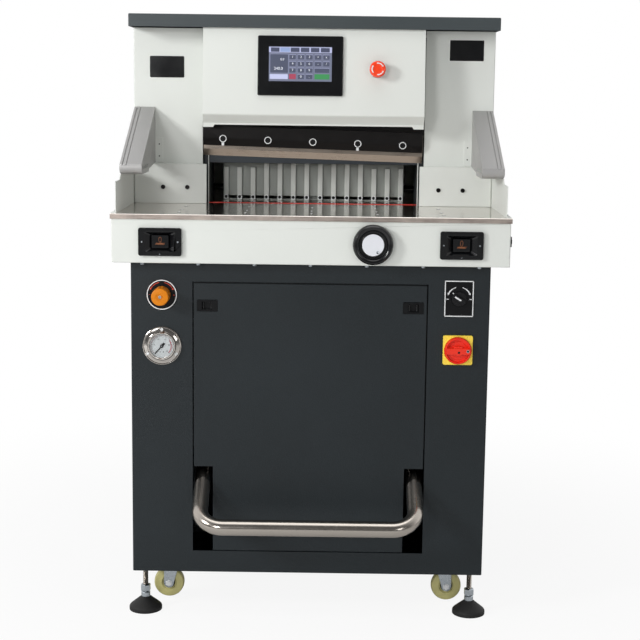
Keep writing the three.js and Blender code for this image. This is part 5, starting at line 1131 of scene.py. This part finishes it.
class CUTTER_OT_console_controls(bpy.types.Operator):
    """Touch panel with its lit display, and the emergency stop"""
    bl_idname = "cutter.console_controls"
    bl_label = "Touch panel and stop"

    def execute(self, context):
        self.panel()
        self.stop()
        return {"FINISHED"}

    def panel(self):
        """The panel with its lit display, drawn on a black cover over the solid's recess."""
        face = paint(soften(dressed("touch_panel", 0), 1.4, 3), "gloss_black_abs")
        front = facing(-33.5, -7, 120, CONSOLE)
        cover = paint(plate(168, 98, 0.4, 1.0, 0.2, front, at=(0, 2), lift=0.02), "gloss_black_abs")
        glass_place = local(front, 0, 4.0, 0.42)
        shades = {shade: backlit("display_" + shade, linear(code)) for shade, code in DISPLAY.items()}
        # The display is 154 by 84 mm, drawn on a grid of 990 by 565 whose middle is at (765, 537.5)
        share, rise = 154 / 990, 84 / 565

        def spot(x, y):
            """A place of the grid on the glass, in millimetres."""
            return (x - 765) * share, (537.5 - y) * rise

        def field(left, right, top, low, shade, lift, corner=0.8):
            """A lit field between places of the grid."""
            width, height = (right - left) * share, (low - top) * rise
            return paint(plate(width, height, 0.25, min(corner, height / 3), 0, glass_place, steps=2,
                               at=spot((left + right) / 2, (top + low) / 2), lift=lift), shades[shade])

        lit = [field(270, 1260, 255, 820, "field", 0.02, 0.1), field(270, 1260, 262, 350, "band", 0.2, 0.1)]
        tabs = ((300, 435), (450, 600), (612, 750), (770, 905), (928, 1062), (1085, 1225))
        lit += [field(*tab, 272, 342, "chosen" if i == 1 else "tab", 0.4) for i, tab in enumerate(tabs)]
        lit += [field(285, 578, 375, 690, "edge", 0.2), field(290, 573, 380, 685, "key", 0.3),
                field(285, 570, 705, 785, "pale", 0.3)]
        columns = ((590, 695), (722, 828), (852, 960), (990, 1097), (1122, 1228))
        rows = (((380, 465), "123+x"), ((490, 575), "456-/"), ((597, 680), "789 "), ((700, 785), " 0. "))
        # The last two rows end in a key two columns wide; the lowest one has a red and a green key
        special = {(3, 0): "red", (3, 3): "green"}
        marks = []
        for j, ((top, low), signs) in enumerate(rows):
            for i, sign in enumerate(signs):
                left, right = columns[i]
                if len(signs) == 4 and i == 3:
                    right = 1225
                shade = special.get((j, i), "key")
                lit.append(field(left, right, top, low, "edge" if shade == "key" else shade, 0.2))
                lit.append(field(left + 2, right - 2, top + 9, low - 2, shade, 0.3))
                if sign != " ":
                    marks.append(words(sign, 8, glass_place, at=spot((left + right) / 2, (top + low) / 2),
                                       lift=0.56, thick=0.05))
        for number, size, x, y in (("0.0", 8, 480, 465), ("240.0", 10, 420, 615)):
            marks.append(words(number, size, glass_place, at=spot(x, y), lift=0.56, thick=0.05))
        finish(join(face, cover, *lit, paint(join(*marks), shades["sign"])), "operator_panel", "machine",
               "black_plastic", "touch_panel")

    def stop(self):
        """Emergency stop: collar with a steel washer, red mushroom head with three turning arrows."""
        stand = facing(155.5, 0, 112, CONSOLE)
        collar = turned([(6.3, 0.3), (15, 0.3), (15, 9.4), (14.4, 10.8), (13, 12), (6.3, 12), (6.3, 0.3)],
                        stand, 56)
        washer = turned([(15.2, 0.2), (19, 0.2), (19, 1.2), (18.4, 1.6), (15.2, 1.6), (15.2, 0.2)], stand, 56)
        whole = dressed("stop_collar", 0)
        finish(join(paint(collar, "moulded_black_abs"), paint(whole, "moulded_black_abs"),
                    paint(washer, "machined_bright_steel")), "stop_collar_ring", "machine", "black_plastic",
               "stop_collar")
        head = turned([(0, -14), (6, -14), (6, 18.3), (17.4, 18.3), (19.4, 19.2), (20, 20.6), (20, 27.0),
                       (19.4, 29.6), (18.2, 31.2), (16.6, 32.1), (11.2, 32.2), (10.2, 31.4), (9.4, 31.0),
                       (0, 31.2)], stand, 72)
        arrows = []
        for start in (100, 220, 340):
            arrows += arrow((12.6, 13.9, 15.2), start, start - 60, 2.9, 8, 0.3, stand, 32.05, 16)
        finish(join(paint(head, "red_stop_plastic"), *painted("white_ink", *arrows)), "stop_head",
               "emergency_stop", "red_plastic", "stop_button")


class CUTTER_OT_instruments(bpy.types.Operator):
    """Pressure regulator, pressure gauge, selector and main switch"""
    bl_idname = "cutter.instruments"
    bl_label = "Instruments"

    def execute(self, context):
        self.regulator()
        self.gauge()
        self.selector()
        self.main_switch()
        return {"FINISHED"}

    def contacts(self, x, height):
        """The contact block and the neck behind a switch plate."""
        blocks = block((-21, 21), (3.3, 53.3), (-21, 21), 1.5, 3, local(MACHINE, x, CABINET_FACE, height))
        neck = disc(11, -8, 1, facing(x, CABINET_FACE, height), 40)
        return painted("moulded_black_abs", blocks, neck)

    def regulator(self):
        """Regulator plate with its ring, arrows and signs, valve body and neck; fluted amber knob."""
        stand = facing(-INSTRUMENT_X, CABINET_FACE, REGULATOR_HEIGHT)
        face = paint(turned([(0, 0), (36.5, 0), (36.5, 1.6), (36.1, 2), (0, 2)], stand, 72),
                     "moulded_black_abs")
        ring = paint(turned([(33.2, 1.9), (35.4, 1.9), (35.4, 2.15), (33.2, 2.15), (33.2, 1.9)], stand, 72),
                     "white_ink")
        marks = []
        for start, end in ((102, 147), (78, 33)):
            marks += arrow((29.0, 29.6, 30.3), start, end, 2.9, 5, 0.2, stand, 1.98, 18)
        marks.append(words("+", 9, stand, at=(29, -1), lift=1.98))
        marks.append(words("-", 10, stand, at=(-29, 1), lift=1.98))
        valve = paint(block((-21, 21), (3.3, 58.3), (-21, 21), 1.5, 3,
                            local(MACHINE, -INSTRUMENT_X, CABINET_FACE, REGULATOR_HEIGHT)),
                      "machined_bright_steel")
        neck = paint(turned([(0, -8), (11, -8), (11, 1), (6, 1), (6, 39.6), (0, 39.6)], stand, 40),
                     "zinc_plated_steel")
        finish(join(face, ring, valve, neck, *painted("red_ink", *marks)), "regulator_dial",
               "machine", "black_plastic", "regulator_plate")
        # Twelve flutes, 1.5 mm deep, are pressed into the sides of the turned knob
        knob = turned([(6.5, 2.3), (20, 2.3), (20.5, 3), (20.5, 8), (20.5, 36), (20.5, 39), (20.3, 42),
                       (19.4, 44), (17.8, 44.9), (9.4, 45), (8.8, 44.4), (6.5, 44.2), (6.5, 2.3)],
                      Matrix(), 96)
        for vertex in knob.data.vertices:
            x, y, z = vertex.co / MM
            radius = math.hypot(x, y)
            if radius > 17 and 5 < z < 37:
                flute = 1.5 * max(0.0, math.cos(12 * math.atan2(y, x))) ** 3
                vertex.co -= Vector((x, y, 0)) / radius * flute * MM
        settle(knob, stand)
        centre = paint(turned([(0, 40), (6.2, 40), (6.2, 43.6), (5.4, 44.2), (0, 44.2)], stand, 40),
                       "amber_knob_plastic")
        pin = screws([local(stand, 0, 0, 43.8)], 3.6, 1.4, "zinc_plated_steel")
        finish(join(paint(knob, "amber_knob_plastic"), centre, pin), "regulator_grip", "regulator",
               "amber_knob", "regulator_knob")

    def gauge(self):
        """Pressure gauge: flanged steel case, dial with its scale, pane, and needle at its zero."""
        stand = facing(-INSTRUMENT_X, CABINET_FACE, GAUGE_HEIGHT)
        case = turned([(0, -32), (28, -32), (30, -30), (30, 0), (46.2, 0), (46.2, 1.4), (45.6, 2.6),
                       (44.4, 3.2), (43.2, 2.8), (42.4, 1.6), (41.6, 1.5), (35.2, 3.6), (34.2, 4.4),
                       (34.0, 11.4), (33.2, 13.6), (31.6, 14.9), (30, 14.9), (28.9, 13.8), (28.4, 8),
                       (0, 8)], stand, 96)
        # The case's screws are near-white: a painted highlight
        heads = screws([local(stand, x, y, 2.0) for x, y in circle(38.6, 90, 210, 330)], 3.6, 2.4,
                       "worn_screw_rim")
        dial = paint(disc(28.3, 7.9, 8.15, stand, 72), "dial_enamel")
        post = paint(turned([(0, 8), (1.5, 8), (1.5, 10.2), (1, 10.6), (0, 10.6)], stand, 24),
                     "machined_bright_steel")
        marks = []
        # Fifty divisions over 270 degrees, longer at every fifth, with a number at every tenth
        lines = {10: (4.2, 0.7), 5: (2.8, 0.4), 1: (1.8, 0.4)}
        firsts = {step: plate(*line, 0.1, 0, 0, Matrix()) for step, line in lines.items()}
        for i in range(51):
            angle = 225 - i * 5.4
            step = next(s for s in lines if i % s == 0)
            x, y = circle(25.6 - lines[step][0] / 2, angle)[0]
            marks.append(copy_to(firsts[step], local(stand, x, y, 8.14) @ rotation(angle, "Z")))
            if step == 10:
                marks.append(words(str(i // 2), 4.8, stand, at=circle(17.4, angle)[0], lift=8.13, thick=0.1))
        bpy.data.batch_remove(firsts.values())
        red = [sector(21.4, 23.2, 36, -45, 0.1, stand, lift=8.13, steps=18),
               sector(24.9, 25.3, 225, -45, 0.1, stand, lift=8.12, steps=60)]
        marks += [disc(1.3, 8.1, 8.25, local(stand, x, -14, 0), 16) for x in (-4, 4)]
        pane = paint(disc(29, 12.2, 13, stand, 72), glass("gauge_glass"))
        finish(join(paint(case, "polished_steel"), heads, dial, post, *painted("black_ink", *marks),
                    *painted("crimson_ink", *red), pane), "pressure_dial", "machine", "black_plastic",
               "pressure_gauge")
        turn = stand @ rotation(139, "Z")
        hub = turned([(1.8, 9.2), (4, 9.2), (4, 10), (3.5, 10.4), (1.8, 10.4), (1.8, 9.2)], turn, 36)
        pointer = plate(2.1, 21, 0.5, 0.6, 0, turn, at=(0, 13.5), lift=9.4)
        tail = plate(5.2, 7, 0.5, 1.6, 0, turn, at=(0, -6), lift=9.4)
        finish(paint(join(hub, pointer, tail), "black_ink"), "dial_pointer", "needle", "black_plastic",
               "gauge_needle")

    def selector(self):
        """Selector plate with its border, two arrows and three marks, and the pointer knob."""
        stand = facing(INSTRUMENT_X, CABINET_FACE, SELECTOR_HEIGHT)
        back = paint(plate(70, 87, 2, 3, 0.4, stand), "moulded_black_abs")
        marks = [plate(width, height, 0.15, 0, 0, stand, at=place, lift=1.95) for width, height, place in (
            (67, 2.3, (0, 41.4)), (67, 2.3, (0, -41.4)), (2.3, 83, (-32.8, 0)), (2.3, 83, (32.8, 0)))]
        for turn, start, end in ((1, 106, 150), (-1, 74, 30)):
            arc, point = arrow((26.9, 27.6, 28.5), start, end, 3.4, 5, 0.15, stand, 1.95, 14)
            wide = sector(26.3, 29.0, start + turn * 20, end, 0.15, stand, lift=1.96, steps=10)
            marks += [arc, wide, point, plate(5.5, 1.6, 0.15, 0.3, 0, stand, at=(-turn * 27, -1), lift=1.95)]
        marks.append(plate(3.2, 3.2, 0.15, 0.6, 0, stand, at=(-13.6, 12.2), lift=1.95))
        behind = self.contacts(INSTRUMENT_X, SELECTOR_HEIGHT)
        finish(join(back, *behind, *painted("white_ink", *marks)), "selector_dial", "machine",
               "black_plastic", "selector_plate")
        turn = stand @ rotation(58, "Z")
        base = turned([(0, 2.3), (17.5, 2.3), (17.5, 6.6), (16.6, 8.2), (14.6, 8.6), (0, 8.6)], turn, 64)
        grip = plate(11, 32, 14, 4.6, 1.4, turn, at=(0, 0.5), lift=6)
        bar = paint(plate(3.2, 17, 0.3, 0.6, 0, turn, at=(0, 4.5), lift=19.9), "white_ink")
        finish(join(paint(base, "soft_black_abs"), paint(grip, "soft_black_abs"), bar), "selector_grip",
               "selector", "black_plastic", "selector_knob")

    def main_switch(self):
        """Main switch: yellow shield, red handle with its window and the lined hole of its lock."""
        stand = facing(INSTRUMENT_X, CABINET_FACE, SWITCH_HEIGHT)
        shield = paint(plate(70, 70, 6, 4, 1.2, stand), "moulded_yellow_abs")
        flange = paint(turned([(32.4, 5), (34.2, 5), (34.2, 7.4), (33.6, 8), (32.8, 8), (32.4, 7.4), (32.4, 5)],
                              stand, 72), "moulded_yellow_abs")
        marks = [paint(words(sign, 5.6, stand, at=(x, 31), lift=5.95), "black_ink")
                 for sign, x in (("0", -4), ("I", 22))]
        finish(join(shield, *self.contacts(INSTRUMENT_X, SWITCH_HEIGHT), flange, *marks), "switch_shield",
               "machine", "yellow_plastic", "main_switch_plate")
        dial = turned([(0, 6.3), (31, 6.3), (32, 7.2), (32, 14), (31.2, 17), (30.0, 18.3), (28.2, 18.3),
                       (27.2, 17.2), (26.2, 9.6), (22.4, 9.2), (21.6, 10.8), (0, 10.8)], stand, 80)
        grip = plate(58, 15, 16.4, 5, 2.2, stand, lift=9.7)
        bridge = plate(24, 24, 12.4, 8, 2.4, stand, lift=9.4)
        window = paint(plate(5, 5, 0.4, 0.6, 0, stand, at=(1, -2), lift=26.0), "soft_black_abs")
        # The lock's hole is a thin black disc: painted shade
        hole = disc(2.2, 0, 0.3, local(stand, 22, 1, 26.1), 28)
        liner = turned([(2.2, 0), (3.6, 0), (3.6, 0.5), (2.2, 0.5), (2.2, 0)], local(stand, 22, 1, 26.0), 28)
        lock = join(paint(hole, "soft_black_abs"), paint(liner, "zinc_plated_steel"))
        finish(join(*painted("red_switch_plastic", dial, grip, bridge), window, lock),
               "switch_grip", "main_switch", "red_plastic", "main_switch_handle")


class CUTTER_OT_pedal(bpy.types.Operator):
    """Foot pedal: bent stainless tube, its hubs and cross shaft"""
    bl_idname = "cutter.pedal"
    bl_label = "Foot pedal"

    def execute(self, context):
        slope = math.radians(PEDAL_SLOPE)
        half, bend = 253.0, 57.0
        reach = 288 / math.cos(slope)

        def spot(x, up):
            """A place in the tube's sloping plane, so far above its cross tube."""
            return (x, -88 + math.cos(slope) * up, 263 + math.sin(slope) * up)

        arcs = [[spot(side * (half - bend + bend * math.cos(a)), bend * (1 - math.sin(a)))
                 for a in (math.radians(90) * i / 16 for i in range(17))] for side in (-1, 1)]
        route = [spot(-half, reach - 14), *arcs[0], *arcs[1][::-1], spot(half, reach - 14)]
        bar = paint(tube(route, 19, MACHINE, 14), "satin_stainless_tube")
        pivot = local(MACHINE, 0, 200, 429.28)
        across = rotation(90, "Y")
        uphill = rotation(PEDAL_SLOPE - 90, "X")
        parts = [paint(turned([(0, -297), (12, -297), (12.5, -296.4), (12.5, 296.4), (12, 297), (0, 297)],
                              pivot @ across, 36), "machined_bright_steel")]
        hub = turned([(12.4, -29.5), (25, -29.5), (26, -28.5), (26, 28.5), (25, 29.5), (12.4, 29.5),
                      (12.4, -29.5)], across, 44)
        weld = turned([(18.6, -2.6), (21, -2.2), (22.4, 0), (21, 2.2), (18.6, 2.6), (18.6, -2.6)], uphill, 36)
        parts += [paint(repeated(hub, both_sides(half, pivot)), "zinc_plated_steel"),
                  paint(repeated(weld, [local(MACHINE, *spot(side * half, reach - 22)) for side in (-1, 1)]),
                        "satin_stainless_tube")]
        finish(join(bar, *parts), "pedal_tube", "pedal", "stainless_tube", "pedal_bar")
        return {"FINISHED"}


class CUTTER_OT_feet(bpy.types.Operator):
    """Levelling feet and swivel castors"""
    bl_idname = "cutter.feet"
    bl_label = "Feet and castors"

    def execute(self, context):
        foot = self.foot()
        castors = {side: self.castor(side) for side in (-1, 1)}
        for row, foot_y, castor_y in (("front", 84, 155), ("rear", 626, 555)):
            for side, word in SIDES:
                place = f"{row}_{word}"
                finish(copy_to(foot, local(MACHINE, side * 397, foot_y, 0)), f"foot_{place}_leveller",
                       "machine", "black_rubber", "foot_" + place)
                fork, wheel = (copy_to(part, local(MACHINE, side * 324, castor_y, 0)) for part in castors[side])
                finish(fork, f"castor_fork_{place}_body", "castor_" + place, "zinc_plate",
                       "castor_fork_" + place)
                finish(wheel, f"castor_wheel_{place}_body", "wheel_" + place, "cream_nylon",
                       "castor_wheel_" + place)
        bpy.data.batch_remove((foot, *castors[-1], *castors[1]))
        return {"FINISHED"}

    def foot(self):
        """A levelling foot: rubber pad, collar, two hexagon nuts and a threaded stud."""
        stand = Matrix()
        pad = turned([(0, 0), (37.5, 0), (39.6, 1), (40, 2.4), (40, 8.4), (39.4, 10.6), (36.8, 13.6),
                      (31.5, 18), (24, 24), (17, 29.6), (13, 33), (11.6, 34), (0, 34)], stand, 64)
        collar = turned([(0, 33.6), (10.2, 33.6), (11, 34.6), (11, 44), (9.4, 46), (0, 46)], stand, 40)
        nuts = [turned([(0, 47), (10.6, 47), (12.7, 48.6), (12.7, 62.4), (10.6, 64), (0, 64)], stand, 6),
                turned([(0, 102), (10.6, 102), (12.7, 103.6), (12.7, 113.8), (0, 113.8)], stand, 6)]
        pitch, height = 1.8, 46.0
        thread = [(0, 45)]
        while height < 112:
            thread += [(5.7, height), (6.5, height + pitch / 2), (5.7, height + pitch)]
            height += pitch
        thread.append((0, 113))
        stud = turned(thread, stand, 24)
        return join(paint(pad, "moulded_rubber"), paint(collar, "zinc_plated_steel"),
                    *painted("machined_bright_steel", *nuts), paint(stud, "satin_stainless_tube"))

    def castor(self, side):
        """A swivel castor of one side: raceway and fork in one piece, the wheel in another."""
        stand = Matrix()
        top, low = 109.7, 97.7
        axle_x, axle_z = side * 22, 48.0
        raceway = turned([(0, low - 3), (19, low - 3), (23.2, low - 1), (24, low + 1.4), (24, low + 3.4),
                          (22.4, low + 4.6), (23, low + 5.6), (24, low + 7.6), (23.2, top - 1.2), (21.8, top),
                          (0, top)], stand, 48)
        bridge = block(sorted((side * 32, -side * 18)), (-18.4, 18.4), (93.8, low), 1.6, 3, stand)
        legs = join(*(self.leg(side, leg) for leg in (-1, 1)))
        bolts = repeated(turned([(0, 0), (8.6, 0), (8.6, 1), (6.4, 1.2), (6.4, 3.8), (0, 4)], stand, 6),
                         (facing(axle_x, -18.5, axle_z, stand), local(stand, axle_x, 18.5, axle_z) @ BACKWARDS))
        spin = facing(axle_x, 0, axle_z, stand)
        axle = disc(4, -18.4, 18.4, spin, 24)
        # The axle bolts are near-white: a painted highlight
        fork = join(*painted("zinc_plated_steel", raceway, bridge, axle, legs), paint(bolts, "worn_screw_rim"))
        tyre = turned([(16.8, -9.4), (18.6, -12.3), (31, -12.5), (34.6, -11.2), (37, -7), (37.5, 0), (37, 7),
                       (34.6, 11.2), (31, 12.5), (18.6, 12.3), (16.8, 9.4), (9, 8.4), (9, -8.4),
                       (16.8, -9.4)], spin, 72)
        hub = turned([(4.3, -12.4), (8.6, -12.4), (9.4, -11.6), (9.4, 11.6), (8.6, 12.4), (4.3, 12.4),
                      (4.3, -12.4)], spin, 40)
        ring = turned([(9.6, -9.2), (14.6, -9.6), (14.6, 9.6), (9.6, 9.2), (9.6, -9.2)], spin, 48)
        return fork, join(paint(tyre, "cast_cream_nylon"), paint(hub, "zinc_plated_steel"),
                          paint(ring, "soft_black_abs"))

    def leg(self, side, leg):
        """One cheek of a fork: it narrows to a round end at the axle."""
        inner, outer = sorted((leg * 14.5, leg * 18.5))
        cheek = block(sorted((side * 34, -side * 4)), (inner, outer), (48, 97.7), stand=Matrix())
        for vertex in cheek.data.vertices:
            if vertex.co.z < 49 * MM and vertex.co.x * side < 0:
                vertex.co.x = side * 10 * MM
        eye = disc(12, 0, outer - inner, facing(side * 22, outer, 48, Matrix()), 40)
        return soften(carve(cheek, eye, "UNION"), 0.6, 2, 40)


class CUTTER_OT_stage(bpy.types.Operator):
    """Pale floor, soft studio lights and the camera"""
    bl_idname = "cutter.stage"
    bl_label = "Stage"

    def execute(self, context):
        scene = context.scene
        scene.view_settings.view_transform = "Standard"
        self.floor()
        for name, settings in LAMPS.items():
            self.lamp(name, *settings)
        self.world(scene)
        self.camera(scene)
        return {"FINISHED"}

    def lamp(self, name, place, target, size, power):
        """A soft round lamp that faces its target."""
        deselect()
        bpy.ops.object.light_add(type="AREA", location=place)
        lamp = bpy.context.object
        lamp.name = "lamp_" + name
        lamp.data.shape = "DISK"
        lamp.data.size = size
        lamp.data.energy = power
        lamp.rotation_euler = (Vector(target) - Vector(place)).to_track_quat("-Z", "Y").to_euler()

    def floor(self):
        """A pale floor that catches the shadow and fades into the white backdrop for the camera."""
        deselect()
        bpy.ops.mesh.primitive_circle_add(vertices=96, radius=14, fill_type="NGON", location=(0, 0, 0))
        floor = bpy.context.object
        floor.name = "studio_floor"
        material, tree, place = new_material("studio_floor")
        grain = add_node(tree, "ShaderNodeTexNoise", links={"Vector": place}, values={"Scale": 40.0})
        ramp = add_node(tree, "ShaderNodeValToRGB", links={"Fac": grain.outputs[0]}, label="Floor")
        tone = two_tone(ramp, linear(COLOURS["floor_lo"]), linear(COLOURS["floor_hi"]))
        skin = add_node(tree, "ShaderNodeBsdfPrincipled", links={"Base Color": tone}, values={"Roughness": 0.9})
        away = add_node(tree, "ShaderNodeVectorMath", links={0: place}, operation="LENGTH")
        reach = add_node(tree, "ShaderNodeMapRange", links={"Value": away.outputs["Value"]}, values={
            "From Min": 0.6, "From Max": 2.0, "To Min": 0.9, "To Max": 1.0}, interpolation_type="SMOOTHSTEP")
        ray = add_node(tree, "ShaderNodeLightPath")
        seen = add_node(tree, "ShaderNodeMath", operation="MULTIPLY",
                        links={0: reach.outputs["Result"], 1: ray.outputs["Is Camera Ray"]})
        white = add_node(tree, "ShaderNodeEmission", values={"Color": (1, 1, 1, 1), "Strength": 1.0})
        both = add_node(tree, "ShaderNodeMixShader", links={0: seen.outputs[0], 1: skin.outputs["BSDF"],
                                                            2: white.outputs["Emission"]})
        add_node(tree, "ShaderNodeOutputMaterial", links={"Surface": both.outputs["Shader"]})
        floor.data.materials.append(material)

    def world(self, scene):
        """White for the camera, and for reflections a bright backdrop with a dark room in front of it."""
        world = bpy.data.worlds.new("studio")
        scene.world = world
        world.use_nodes = True
        tree = world.node_tree
        tree.nodes.clear()
        ray = add_node(tree, "ShaderNodeLightPath")
        way = add_node(tree, "ShaderNodeSeparateXYZ", links={
            "Vector": add_node(tree, "ShaderNodeTexCoord").outputs["Generated"]})
        room = add_node(tree, "ShaderNodeMapRange", interpolation_type="SMOOTHSTEP",
                        links={"Value": way.outputs["Y"]},
                        values={"From Min": -0.7, "From Max": 0.1, "To Min": 0.14, "To Max": 1.0})
        gloss = add_node(tree, "ShaderNodeMix", values={2: 0.27},
                         links={0: ray.outputs["Is Glossy Ray"], 3: room.outputs["Result"]})
        sharp = add_node(tree, "ShaderNodeMath", operation="MAXIMUM", links={
            0: ray.outputs["Is Camera Ray"], 1: ray.outputs["Is Transmission Ray"]})
        level = add_node(tree, "ShaderNodeMath", operation="MAXIMUM",
                         links={0: sharp.outputs[0], 1: gloss.outputs[0]})
        back = add_node(tree, "ShaderNodeBackground", values={"Color": (1, 1, 1, 1)},
                        links={"Strength": level.outputs[0]})
        add_node(tree, "ShaderNodeOutputWorld", links={"Surface": back.outputs["Background"]})

    def camera(self, scene):
        """The camera that was fitted to the photo, and its slight roll."""
        deselect()
        bpy.ops.object.camera_add(location=CAMERA_PLACE)
        camera = bpy.context.object
        camera.data.lens = CAMERA_LENS
        camera.data.sensor_width = CAMERA_SENSOR
        pitch, yaw, roll = (math.radians(a) for a in CAMERA_TURN)
        turn = Matrix.Rotation(-yaw, 3, "Z")
        ahead = turn @ Vector((0, math.cos(pitch), -math.sin(pitch)))
        above = turn @ Vector((0, math.sin(pitch), math.cos(pitch)))
        beside = turn @ Vector((1, 0, 0))
        right = beside * math.cos(roll) + above * math.sin(roll)
        upward = above * math.cos(roll) - beside * math.sin(roll)
        turned_to = Matrix((right, upward, -ahead)).transposed()
        camera.matrix_world = Matrix.Translation(camera.location) @ turned_to.to_4x4()
        scene.camera = camera


GROUPS = (CUTTER_OT_stage, CUTTER_OT_cabinet, CUTTER_OT_tables, CUTTER_OT_frame, CUTTER_OT_knife,
          CUTTER_OT_gauge, CUTTER_OT_covers, CUTTER_OT_arms, CUTTER_OT_apron, CUTTER_OT_console_controls,
          CUTTER_OT_instruments, CUTTER_OT_pedal, CUTTER_OT_feet)


class CUTTER_PT_panel(bpy.types.Panel):
    """Lists the cutter's settings and the operators that build its pieces"""
    bl_idname = "CUTTER_PT_panel"
    bl_label = "Paper cutter"
    bl_space_type = "VIEW_3D"
    bl_region_type = "UI"
    bl_category = "Cutter"

    def draw(self, context):
        layout = self.layout
        for settings in (context.scene.cutter_colours, context.scene.cutter_sizes):
            for name in settings.bl_rna.properties.keys():
                if name not in ("rna_type", "name"):
                    layout.prop(settings, name)
        for group in GROUPS:
            layout.operator(group.bl_idname)


CLASSES = (CutterColours, CutterSizes, *GROUPS, CUTTER_PT_panel)


def register():
    """Makes the settings, the operators and the panel known to Blender."""
    for cls in CLASSES:
        bpy.utils.register_class(cls)
    bpy.types.Scene.cutter_colours = bpy.props.PointerProperty(type=CutterColours)
    bpy.types.Scene.cutter_sizes = bpy.props.PointerProperty(type=CutterSizes)


def unregister():
    """Takes them away again."""
    del bpy.types.Scene.cutter_sizes
    del bpy.types.Scene.cutter_colours
    for cls in reversed(CLASSES):
        bpy.utils.unregister_class(cls)


def main():
    """Builds every group."""
    register()
    for group in GROUPS:
        space, name = group.bl_idname.split(".")
        getattr(getattr(bpy.ops, space), name)()


if __name__ == "__main__":
    main()
